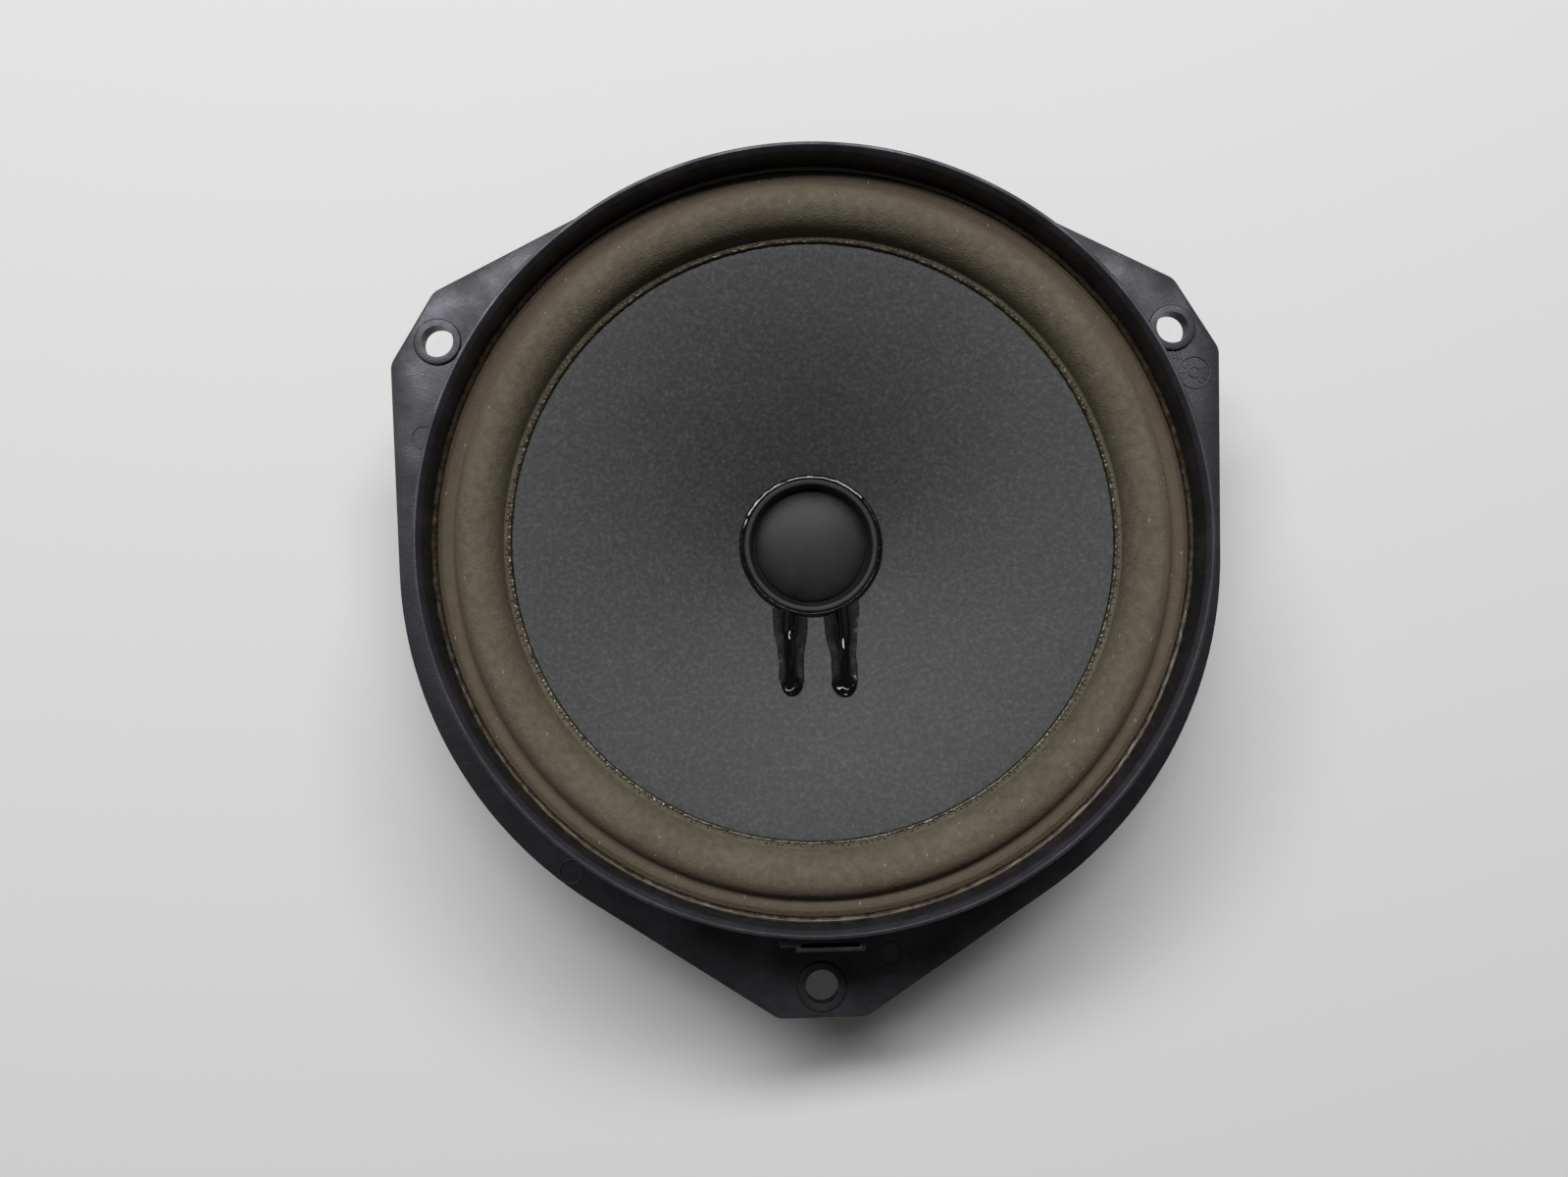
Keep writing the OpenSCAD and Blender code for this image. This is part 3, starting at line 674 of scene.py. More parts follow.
def prism(name, outline, z0, z1):
    """A straight block on an outline of (x, y) points, anticlockwise from above."""
    count = len(outline)
    points = [(x, y, z0) for x, y in outline] + [(x, y, z1) for x, y in outline]
    sides = [(i, (i + 1) % count, count + (i + 1) % count, count + i) for i in range(count)]
    caps = [tuple(range(count))[::-1], tuple(range(count, 2 * count))]
    return mesh_object(name, points, faces=sides + caps)


def moved(obj, x=0.0, y=0.0, z=0.0, turn=None):
    """Moves or turns the mesh itself, so that the object stays at the origin."""
    matrix = Matrix.Translation((x, y, z))
    obj.data.transform(matrix @ turn if turn else matrix)
    return obj


def bevelled(obj, width, segments=2, angle=35):
    modifier = obj.modifiers.new("edge", "BEVEL")
    modifier.width = width
    modifier.segments = segments
    modifier.limit_method = "ANGLE"
    modifier.angle_limit = radians(angle)
    return settle(obj)


def combine(obj, operation, *others):
    """Exact boolean of an object with others, which are used up."""
    for other in others:
        modifier = obj.modifiers.new("cut", "BOOLEAN")
        modifier.operation = operation
        modifier.solver = "EXACT"
        modifier.object = other
    settle(obj)
    for other in others:
        bpy.data.objects.remove(other)
    return obj


def join(name, *objects):
    """One mesh of several, without merging them; each keeps its material."""
    work = bmesh.new()
    finishes = []
    for obj in objects:
        finish = obj.data.materials[0] if obj.data.materials else finishes[0]
        if finish not in finishes:
            finishes.append(finish)
        before = len(work.faces)
        work.from_mesh(obj.data)
        work.faces.ensure_lookup_table()
        for face in work.faces[before:]:
            face.material_index = finishes.index(finish)
    data = bpy.data.meshes.new(name)
    work.to_mesh(data)
    work.free()
    for finish in finishes:
        data.materials.append(finish)
    for obj in objects:
        bpy.data.objects.remove(obj)
    return link(bpy.data.objects.new(name, data))


def stand_in_for(obj, body, node):
    """The finished piece rides on its body and hides its plain CAD node."""
    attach(obj, body)
    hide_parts(node)
    return obj


def refined(node, name, material, width, segments=2, dissolve=3):
    """A copy of a CAD node with its triangles merged and its edges rounded."""
    obj = mesh_object(name, [])
    work = bmesh.new()
    work.from_mesh(frame["nodes"][node].data)
    bmesh.ops.remove_doubles(work, verts=work.verts, dist=0.002 * MM)
    bmesh.ops.dissolve_limit(work, angle_limit=radians(dissolve), verts=work.verts, edges=work.edges)
    work.to_mesh(obj.data)
    work.free()
    obj.data.materials.append(material)
    bevelled(obj, width, segments)
    return shade(obj, 50)


# ---------------------------------------------------------------- the cone's shape


def cone_z(r):
    """Height of the cone's front face at radius r."""
    u = (r - CONE_NECK) / (BRIM_IN - CONE_NECK)
    return NECK_Z + (CONE_EDGE - NECK_Z) * u + 4 * CONE_BOW * u * (1 - u)


def cone_line(r0, r1, lift=0.0, steps=24):
    return [(r0 + (r1 - r0) * i / steps, cone_z(r0 + (r1 - r0) * i / steps) + lift) for i in range(steps + 1)]


def on_cone(x, y, lift=0.0):
    """Point on the cone at x, y, raised square to the paper."""
    r = hypot(x, y)
    slope = atan2(cone_z(r + MM) - cone_z(r - MM), 2 * MM)
    across = Vector((x / r, y / r, 0))
    normal = Vector((0, 0, 1)) * cos(slope) - across * sin(slope)
    return Vector((x, y, cone_z(r))) + normal * lift, normal


# ---------------------------------------------------------------- basket


def flange_outline(arc_steps=28):
    """Round flange with three ears, their flanks touching the circle, with rounded corners."""
    corner = (EAR_TIP, EAR_HALF)
    touch = atan2(corner[1], corner[0]) + acos(FLANGE_R / hypot(*corner))
    points = []
    for ear in EAR_ANGLES:
        for side in (-1, 1):
            p = Vector(corner) if side > 0 else Vector((corner[0], -corner[1]))
            flank = Vector((FLANGE_R * cos(touch), side * FLANGE_R * sin(touch))) - p
            tip = Vector((0, -side))
            half = flank.angle(tip) / 2
            setback = EAR_CORNER / tan(half)
            centre = p + (flank.normalized() + tip).normalized() * (EAR_CORNER / sin(half))
            ends = [p + flank.normalized() * setback, p + tip * setback]
            if side > 0:
                ends.reverse()
            start = ends[0] - centre
            sweep = start.angle_signed(ends[1] - centre)
            for k in range(7):
                q = centre + Matrix.Rotation(-sweep * k / 6, 2) @ start
                points.append(Matrix.Rotation(ear, 2) @ q)
        span = 2 * pi / 3 - 2 * touch
        for k in range(arc_steps + 1):
            a = ear + touch + span * k / arc_steps
            points.append(Vector((FLANGE_R * cos(a), FLANGE_R * sin(a))))
    return [tuple(p) for p in points]


def basket_section():
    seat_foot = SEAT_Z - SEAT_T
    wall_out = SEAT_IN + SEAT_T
    return [
        (RIM_IN, RIM_TOP - RIM_BEVEL), (RIM_IN + RIM_BEVEL, RIM_TOP), (RIM_R - RIM_TAPER_W, RIM_TOP),
        (RIM_R, RIM_TOP - RIM_TAPER_H), (RIM_R, 0),
        (RIM_IN, 0), (RIM_IN, seat_foot), (wall_out, seat_foot), (wall_out, LEG_TOP - LEG_T),
        (PLATFORM_R, PLATFORM_Z - LEG_T), (PLATFORM_IN + 3 * MM, PLATFORM_Z - LEG_T),
        (PLATFORM_IN + 3 * MM, FLOOR_Z), (FLOOR_HOLE, FLOOR_Z), (FLOOR_HOLE, FLOOR_Z + FLOOR_T),
        (PLATFORM_IN, FLOOR_Z + FLOOR_T), (PLATFORM_IN, PLATFORM_Z), (PLATFORM_R, PLATFORM_Z),
        (SEAT_IN, LEG_TOP), (SEAT_IN, SEAT_Z), (RIM_IN, SEAT_Z),
    ]


def window_cutters():
    inner = PLATFORM_R + 2 * MM
    outer = SEAT_IN - 2 * MM
    steps = 6
    angles = [WINDOW_ANGLE * (k / steps - 0.5) for k in range(steps + 1)]
    outline = [(inner * cos(a), inner * sin(a)) for a in reversed(angles)]
    outline += [(outer * cos(a), outer * sin(a)) for a in angles]
    cutter = prism("window", outline, PLATFORM_Z - 5 * MM, PLATFORM_Z + 9 * MM)
    return repeat(cutter, WINDOWS, radians(270), NYLON)


def terminal_shelf():
    """Shelf under one window, with a gusset at each end."""
    back, bottom = SHELF_BACK, SHELF_LOW
    shelf = box_mesh("shelf", (-SHELF_HALF, back, bottom), (SHELF_HALF, SHELF_FRONT, bottom + SHELF_T))
    rise = 8 * MM / (SEAT_IN - PLATFORM_R)
    top = PLATFORM_Z - MM
    pieces = [shelf]
    for x in (-SHELF_HALF, SHELF_HALF - GUSSET_T):
        profile = [
            (back, bottom), (-PLATFORM_R, bottom), (-PLATFORM_R, top),
            (back, top + rise * (-back - PLATFORM_R)),
        ]
        gusset = prism("gusset", profile, 0, GUSSET_T)
        upright = Matrix(((0, 0, 1, x), (1, 0, 0, 0), (0, 1, 0, 0), (0, 0, 0, 1)))
        gusset.data.transform(upright)
        pieces.append(gusset)
    return pieces


def rim_clip():
    """Pocket with a slot on the rim's outer wall above the lower ear, and a step beside it."""
    foot = RIM_TOP - RIM_TAPER_H
    top = RIM_TOP - 3.6 * MM
    inside = -RIM_R + 1.4 * MM
    pocket = box_mesh("pocket", (-5.2 * MM, -RIM_R - 1.5 * MM, foot), (7.3 * MM, inside, top))
    slot = box_mesh(
        "slot", (-4.2 * MM, -RIM_R - 0.8 * MM, foot - MM), (6.3 * MM, -RIM_R - 0.1 * MM, top + MM)
    )
    combine(pocket, "DIFFERENCE", slot)
    bevelled(pocket, 0.15 * MM)
    step = box_mesh("step", (-8 * MM, -RIM_R - 0.6 * MM, foot), (-5.1 * MM, inside, top))
    bevelled(step, 0.15 * MM)
    return pocket, step


def raised_ring(name, radius, width, height, x, y, z=FLANGE_T):
    """A low moulded ring on the flange, such as an ejector pin leaves."""
    section = [
        (radius - width / 2, -0.2 * MM), (radius - width / 2, height), (radius + width / 2, height),
        (radius + width / 2, -0.2 * MM),
    ]
    ring = turned(name, section, NYLON, corner=height * 0.6, Segments=48)
    return moved(ring, x, y, z)


def mould_marks():
    """Ejector rings, and a date dial with plain ticks, all without letters."""
    dial_x, dial_y = 79 * MM, 33.9 * MM
    marks = [
        raised_ring("dial_rim", 3.3 * MM, 0.4 * MM, 0.2 * MM, dial_x, dial_y),
        raised_ring("dial_hub", 1.1 * MM, 0.3 * MM, 0.16 * MM, dial_x, dial_y),
        raised_ring("left_pin", 2.3 * MM, 0.3 * MM, 0.14 * MM, -77.6 * MM, 23.6 * MM),
        raised_ring("lower_pin", 2.3 * MM, 0.4 * MM, 0.2 * MM, -48.5 * MM, -63.3 * MM),
        raised_ring("right_pin", 2.2 * MM, 0.3 * MM, 0.14 * MM, 13.5 * MM, -80.5 * MM),
    ]
    tick = box_mesh("tick", (1.7 * MM, -0.12 * MM, -0.1 * MM), (2.7 * MM, 0.12 * MM, 0.16 * MM))
    marks.append(moved(repeat(tick, 12, 0, NYLON), dial_x, dial_y, FLANGE_T))
    arrow = box_mesh("arrow", (-0.5 * MM, -0.12 * MM, -0.1 * MM), (0.9 * MM, 0.12 * MM, 0.14 * MM))
    marks.append(moved(arrow, dial_x, dial_y, FLANGE_T, Matrix.Rotation(radians(70), 4, "Z")))
    for k in range(3):
        bar = box_mesh("bar", (-0.13 * MM, -0.8 * MM, -0.1 * MM), (0.13 * MM, 0.8 * MM, 0.15 * MM))
        place_x = 74.9 * MM + 0.75 * MM * k
        lean = Matrix.Rotation(radians(12), 4, "Z")
        marks.append(moved(bar, place_x, 37.6 * MM - 0.1 * MM * k, FLANGE_T, lean))
    return marks


def make_basket():
    body = turned("moulded_basket", basket_section(), NYLON, corner=0.18 * MM)
    plate = bevelled(prism("flange", flange_outline(), 0, FLANGE_T), 0.35 * MM)
    core = turned("core", [(0, -MM), (RIM_R - 0.6 * MM, -MM), (RIM_R - 0.6 * MM, 5 * MM), (0, 5 * MM)], NYLON)
    combine(plate, "DIFFERENCE", core)
    boss_section = [(0, 0.5 * MM), (BOSS_R, 0.5 * MM), (BOSS_R, BOSS_TOP), (0, BOSS_TOP)]
    boss = moved(turned("boss", boss_section, NYLON, corner=0.3 * MM, Segments=64), EAR_CIRCLE)
    bosses = repeat(boss, 3, EAR_ANGLES[0], NYLON)
    fillet = turned(
        "fillet",
        [(RIM_R - 0.3 * MM, FLANGE_T - 0.3 * MM), (RIM_R + 0.8 * MM, FLANGE_T - 0.3 * MM),
         (RIM_R + 0.8 * MM, FLANGE_T + 0.02 * MM), (RIM_R + 0.1 * MM, FLANGE_T + 0.3 * MM),
         (RIM_R + 0.02 * MM, FLANGE_T + 0.8 * MM), (RIM_R - 0.3 * MM, FLANGE_T + 0.8 * MM)],
        NYLON,
    )
    wall_out = SEAT_IN + SEAT_T
    rib = box_mesh(
        "rib", (wall_out - 0.5 * MM, -0.9 * MM, 0.1 * MM), (RIM_IN + 0.5 * MM, 0.9 * MM, SEAT_Z - MM)
    )
    ribs = repeat(rib, WINDOWS, radians(270 + 180 / WINDOWS), NYLON)
    combine(body, "UNION", plate, bosses, fillet, ribs, *terminal_shelf(), *rim_clip())
    hole_section = [(0, -2 * MM), (EAR_HOLE, -2 * MM), (EAR_HOLE, 6 * MM), (0, 6 * MM)]
    hole = moved(turned("hole", hole_section, NYLON, Segments=64), EAR_CIRCLE)
    holes = repeat(hole, 3, EAR_ANGLES[0], NYLON)
    slot = box_mesh(
        "lug_slot", (-7.4 * MM, TERMINAL_Y - 2.5 * MM, SHELF_LOW - MM),
        (7.4 * MM, TERMINAL_Y + 2.5 * MM, SHELF_LOW + 3 * MM),
    )
    combine(body, "DIFFERENCE", window_cutters(), holes, slot)
    body.data.materials.clear()
    body.data.materials.append(NYLON)
    shade(body, 32)
    body = join("moulded_basket_piece", body, *mould_marks())
    return stand_in_for(body, FRAME, "basket")


# ---------------------------------------------------------------- surround, cone and cap


def arch(a, h, foot_in, foot_out, steps=28):
    """Elliptical arch over the gap between cone and seat, as (r, z) points from the inside out."""
    centre = (ROLL_IN + ROLL_OUT) / 2
    points = []
    for i in range(steps + 1):
        u = pi - pi * i / steps
        rise = (cos(u) + 1) / 2
        points.append((centre + a * cos(u), foot_in + (foot_out - foot_in) * rise + h * sin(u)))
    return points


def radial_blend(obj):
    """Bakes the ring's placement into its mesh; the ring is not flexed."""
    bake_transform(obj)


def make_surround():
    lip_z = low("surround")
    lip_top = lip_z + 0.6 * MM
    seat = SEAT_Z + 0.05 * MM
    foot_in = lip_z + 0.3 * MM
    foot_out = seat + FOAM_T / 2
    half = (ROLL_OUT - ROLL_IN) / 2
    outer = arch(half + FOAM_T / 2, ROLL_H + FOAM_T / 2, foot_in, foot_out)
    inner = arch(half - FOAM_T / 2, ROLL_H - FOAM_T / 2, foot_in, foot_out)
    valley = SEAT_Z + 1.15 * MM
    outer = [(r, z) for r, z in outer if r < ROLL_OUT - half or z > valley + 0.2 * MM]
    ridge = [
        (ROLL_OUT + 0.55 * MM, valley), (ROLL_OUT + 0.9 * MM, valley - 0.08 * MM),
        (ROLL_OUT + 1.3 * MM, valley), (ROLL_OUT + 2.0 * MM, SEAT_Z + 1.3 * MM),
        (FOAM_OUT - 1.2 * MM, SEAT_Z + 1.3 * MM),
        (FOAM_OUT - 0.7 * MM, SEAT_Z + 0.95 * MM), (FOAM_OUT - 0.1 * MM, SEAT_Z + 0.55 * MM),
    ]
    section = [(LIP_IN, lip_z), (LIP_IN, lip_top)] + outer + ridge + [(FOAM_OUT - 0.1 * MM, seat)]
    section += [(ROLL_OUT - FOAM_T / 2, seat)] + inner[::-1] + [(ROLL_IN + FOAM_T / 2, lip_z)]
    roll = turned(
        "foam_surround", section, FOAM, corner=0.15 * MM, steps=2, sharp=60,
        Lump_height=0.16 * MM, Lump_size=5 * MM, Seed=3,
    )
    roll = stand_in_for(roll, FRAME, "surround")
    roll.parent = None
    radial_blend(roll)
    return roll


def make_surround_glue():
    section = [
        (FOAM_OUT - 0.02 * MM, SEAT_Z), (RIM_IN - 0.02 * MM, SEAT_Z),
        (RIM_IN - 0.02 * MM, SEAT_Z + 0.95 * MM),
        (RIM_IN - 0.5 * MM, SEAT_Z + 1.05 * MM), (FOAM_OUT + 0.05 * MM, SEAT_Z + 0.7 * MM),
    ]
    bead = turned(
        "amber_glue_line", section, AMBER_GLUE, corner=0.2 * MM, sharp=60,
        Lump_height=0.5 * MM, Lump_size=2.5 * MM, Segments=720, Seed=5,
    )
    return stand_in_for(bead, FRAME, "surround_glue")


def make_cone():
    front = cone_line(CONE_NECK, BRIM_IN)
    rear = cone_line(CONE_NECK, BRIM_IN, -CONE_T)[::-1]
    section = front + [(CONE_OUT, CONE_EDGE), (CONE_OUT, CONE_EDGE - 0.6 * MM)] + rear
    paper = turned(
        "paper_cone", section, PULP, sharp=50, Lump_height=0.08 * MM, Lump_size=9 * MM, Seed=7
    )
    return stand_in_for(paper, MOVING, "cone")


def make_cone_edge_glue():
    """Bead along the foam's cut edge, with the small glossy crimps that the hot tool left."""
    top = high("cone_edge_glue")
    section = [
        (LIP_IN - 0.75 * MM, cone_z(LIP_IN - 0.75 * MM)), (BRIM_IN, CONE_EDGE), (LIP_IN, CONE_EDGE),
        (LIP_IN, top), (LIP_IN - 0.45 * MM, top - 0.12 * MM),
    ]
    bead = turned(
        "amber_edge_bead", section, AMBER_GLUE, corner=0.1 * MM, sharp=70, Lump_height=0.35 * MM,
        Lump_size=1.6 * MM, Crimp_depth=0.06 * MM, Crimps=360, Segments=1440, Seed=9,
    )
    # The crimps take the lighter glue, a painted glint on top of their real gloss.
    crimp = turned("crimp", [(0, 0), (0.5, 0.0), (0.34, 0.34), (0, 0.5)], CRIMP_GLUE_PAINTED_GLINT, Segments=6)
    crimp.data.transform(Matrix.Diagonal((0.8 * MM, 0.36 * MM, 0.34 * MM, 1)))
    moved(crimp, LIP_IN + 0.25 * MM, 0, top - 0.05 * MM)
    crimps = repeat(crimp, 330, 0, CRIMP_GLUE_PAINTED_GLINT, Size_change=0.006, Stray=0.005, Seed=4)
    # Small glue beads on the lower left of the edge bead, coloured near-white as a painted highlight for the
    # glints there.
    flecks = []
    for k in range(38):
        a = radians(184 + 1.55 * k + 1.2 * noise.noise((k * 0.7, 0.3, 2)))
        r = LIP_IN - 0.25 * MM + 0.35 * MM * noise.noise((k * 1.3, 5.1, 1))
        size = 0.2 * MM + 0.14 * MM * noise.noise((k * 2.1, 3.3, 4))
        centre = (r * cos(a), r * sin(a), top)
        flecks.append(ball(f"fleck_{k}", centre, (size, size, size * 0.8), FLECK_GLUE_PAINTED_GLINT, 1))
    glue = join("amber_edge_glue", bead, crimps, *flecks)
    return stand_in_for(glue, MOVING, "cone_edge_glue")


def make_dust_cap():
    groove = CAP_R - 2.2 * MM
    groove_z = NECK_Z - 1.2 * MM
    edge = cone_z(CAP_R)
    dome = []
    for k in range(19):
        a = radians(5 * k)
        dome.append(((groove - 0.15 * MM) * cos(a), groove_z + 0.1 * MM + (CAP_TOP - groove_z) * sin(a)))
    under = [(r * 0.98, z - 0.5 * MM) for r, z in dome]
    section = [
        (CAP_R, edge), (CAP_R, CAP_TOP - 0.4 * MM), (CAP_R - 0.4 * MM, CAP_TOP),
        (groove + 0.95 * MM, CAP_TOP - 0.06 * MM), (groove + 0.55 * MM, CAP_TOP - 1.2 * MM),
        (groove, groove_z),
    ]
    section += dome + under[::-1]
    seat_r = CONE_NECK + 0.15 * MM
    section += [
        (groove + 0.4 * MM, groove_z - 0.5 * MM), (groove + 0.9 * MM, groove_z),
        (groove + 0.9 * MM, NECK_Z + 0.5 * MM), (seat_r, cone_z(seat_r)),
    ]
    cap = turned("cloth_dust_cap", section, CLOTH, corner=0.3 * MM, sharp=60)
    return stand_in_for(cap, MOVING, "dust_cap")


def make_dust_cap_glue():
    section = [
        (CAP_R - 0.05 * MM, cone_z(CAP_R) - 0.1 * MM), (CAP_GLUE, cone_z(CAP_GLUE) - 0.1 * MM),
        (CAP_GLUE - 0.12 * MM, CAP_TOP - 0.65 * MM), (CAP_R + 0.6 * MM, CAP_TOP - 0.2 * MM),
        (CAP_R + 0.05 * MM, CAP_TOP - 0.05 * MM), (CAP_R - 0.05 * MM, CAP_TOP - 0.3 * MM),
    ]
    bead = turned(
        "black_glue_bead", section, BLACK_GLUE, corner=0.14 * MM, sharp=80,
        Lump_height=0.55 * MM, Lump_size=3.6 * MM, Segments=480, Seed=12,
    )
    return stand_in_for(bead, MOVING, "dust_cap_glue")


# ---------------------------------------------------------------- lead-out wires and their glue


def tube(name, points, radii, material, sides=16):
    """A closed tube through points, with its own radius at each."""
    curve = bpy.data.curves.new(name, "CURVE")
    curve.dimensions = "3D"
    curve.bevel_depth = 1.0
    curve.bevel_resolution = sides // 4
    curve.use_fill_caps = True
    spline = curve.splines.new("POLY")
    spline.points.add(len(points) - 1)
    for point, p, r in zip(spline.points, points, radii):
        point.co = (*p, 1)
        point.radius = r
    obj = link(bpy.data.objects.new(name, curve))
    bpy.context.view_layer.update()
    data = bpy.data.meshes.new_from_object(obj.evaluated_get(bpy.context.evaluated_depsgraph_get()))
    bpy.data.objects.remove(obj)
    obj = link(bpy.data.objects.new(name, data))
    data.materials.append(material)
    return shade(obj, 60)


def ball(name, centre, size, material, detail=3):
    """A rounded lump with its own size along each axis."""
    work = bmesh.new()
    bmesh.ops.create_icosphere(work, subdivisions=detail, radius=1.0)
    for face in work.faces:
        face.smooth = True
    data = bpy.data.meshes.new(name)
    work.to_mesh(data)
    work.free()
    data.transform(Matrix.Translation(centre) @ Matrix.Diagonal((*size, 1)))
    data.materials.append(material)
    return link(bpy.data.objects.new(name, data))


def ease(t, start, end):
    """0 before the start, 1 after the end, and smooth between them."""
    u = min(max((t - start) / (end - start), 0), 1)
    return u * u * (3 - 2 * u)


def bell(t):
    """Bell curve that is 1 at 0 and falls to about a third at 1."""
    return 2.718 ** (-(t ** 2))


def make_lead_glue(side, name, node, lump_r):
    """Film of glue over a lead-out wire: a ridge on the wire, ragged sides, a lump on the eyelet."""
    x0 = LEAD_X[side]
    rows, cols = 150, 60
    end_y = LEAD_Y - lump_r
    knot_fall, ridge_fall, lean = (
        ((0.24, 0.36), (0.4, 0.74), -0.25 * MM), ((0.32, 0.5), (0.54, 0.76), 0.1 * MM)
    )[side]
    top, bottom, thickness = [], [], []
    for i in range(rows + 1):
        t = i / rows
        ragged = [
            0.3 * MM * noise.noise((5 * t, k, side)) + 0.08 * MM * noise.noise((20 * t, k, side))
            for k in (3, 7)
        ]
        for j in range(cols + 1):
            v = 2 * j / cols - 1
            wide = 2.5 * MM + 1.0 * MM * (1 - ease(t, 0.1, 0.6))
            y_mid = -CAP_GLUE * (1 - t) + end_y * t
            past = (LEAD_Y + lump_r * 0.2 - y_mid) / (lump_r * 1.2)
            if past > 0:
                wide = 0.02 * MM + lump_r * (1 - min(past, 1) ** 2) ** 0.5
            x = x0 + v * wide + ragged[v > 0] * min(1, 4 * (1 - t))
            start = -(max(CAP_GLUE ** 2 - x ** 2, 0)) ** 0.5 + 0.2 * MM
            y = start * (1 - t) + end_y * t
            film = 0.2 * MM * (1 - v ** 8)
            off = (x - x0 - lean * ease(t, 0, 0.3)) / MM
            ridge = (0.72 - 0.2 * ease(t, *ridge_fall)) * MM * bell(off / 0.85)
            knot = 0.36 * MM * (1 - ease(t, *knot_fall)) * bell(off / 1.5)
            roll = 0.08 * MM * noise.noise((off / 2.6, y / (2.4 * MM), side + 0.5))
            far_x, far_y = (x - x0) / lump_r, (y - LEAD_Y) / lump_r
            lump = 0.85 * MM * max(0, 1 - far_x ** 2 - far_y ** 2) ** 0.5
            dent = noise.noise((x / (1.2 * MM), y / (1.2 * MM), side))
            lump *= 1 - 0.75 * far_y - 0.45 * side * far_x + 0.35 * dent
            over_eyelet = 0.62 * MM * (1 - ease(hypot(x - x0, y - LEAD_Y), 1.7 * MM, 2.1 * MM))
            height = max(film + ridge + knot + roll, lump, over_eyelet, 0.02 * MM)
            if i in (0, rows) or j in (0, cols):
                height = min(height, 0.05 * MM)
            top.append(on_cone(x, y, 0.02 * MM + height)[0])
            bottom.append(on_cone(x, y, 0.02 * MM)[0])
            thickness.append(height)
    wide = cols + 1
    count = len(top)
    faces = []
    for i in range(rows):
        for j in range(cols):
            a, b, c, d = i * wide + j, i * wide + j + 1, (i + 1) * wide + j + 1, (i + 1) * wide + j
            faces += [(a, d, c, b), (a + count, b + count, c + count, d + count)]
    rim = list(range(cols)) + [i * wide + cols for i in range(rows)]
    rim += [rows * wide + j for j in range(cols, 0, -1)] + [i * wide for i in range(rows, 0, -1)]
    faces += [(a, b, b + count, a + count) for a, b in zip(rim, rim[1:] + rim[:1])]
    film = mesh_object(name, top + bottom, faces=faces)
    film.data.attributes.new("glue_thickness", "FLOAT", "POINT").data.foreach_set("value", thickness * 2)
    film.data.materials.append(GLUE_FILM)
    shade(film, 180)
    return stand_in_for(film, MOVING, node)


def make_coil_lead(side, name, node):
    """Enamelled wire from the cap's flange to the eyelet, under the glue."""
    start, end = -CAP_R - 1.6 * MM, LEAD_Y + 1.9 * MM
    points = [on_cone(LEAD_X[side], start + (end - start) * k / 8, 0.35 * MM)[0] for k in range(9)]
    wire = tube(name, points, [0.2 * MM] * 9, ENAMELLED_COPPER, 12)
    return stand_in_for(wire, MOVING, node)


def square_on_cone(obj, side):
    """Moves a mesh from the origin to its lead's place, square to the paper."""
    point, normal = on_cone(LEAD_X[side], LEAD_Y)
    turn = Vector((0, 0, 1)).rotation_difference(normal).to_matrix().to_4x4()
    obj.data.transform(Matrix.Translation(point) @ turn)


def make_eyelet(side, name, node):
    section = [
        (0.6 * MM, 0.42 * MM), (1.5 * MM, 0.42 * MM), (1.7 * MM, 0.1 * MM), (1.0 * MM, 0.05 * MM),
        (1.0 * MM, -0.72 * MM), (1.5 * MM, -0.78 * MM), (1.5 * MM, -1.05 * MM), (1.0 * MM, -1.12 * MM),
        (1.0 * MM, -1.6 * MM), (0.6 * MM, -1.6 * MM),
    ]
    eyelet = turned(name, section, BRASS, corner=0.08 * MM, Segments=40)
    square_on_cone(eyelet, side)
    return stand_in_for(eyelet, MOVING, node)


def make_solder(side, name, node):
    section = [
        (0, -1.6 * MM), (1.2 * MM, -1.6 * MM), (1.25 * MM, -1.9 * MM), (0.9 * MM, -2.45 * MM), (0, -2.6 * MM),
    ]
    drop = turned(
        name, section, SOLDER, corner=0.35 * MM, sharp=80, Segments=32,
        Lump_height=0.12 * MM, Lump_size=1.2 * MM, Seed=side + 2,
    )
    square_on_cone(drop, side)
    return stand_in_for(drop, MOVING, node)


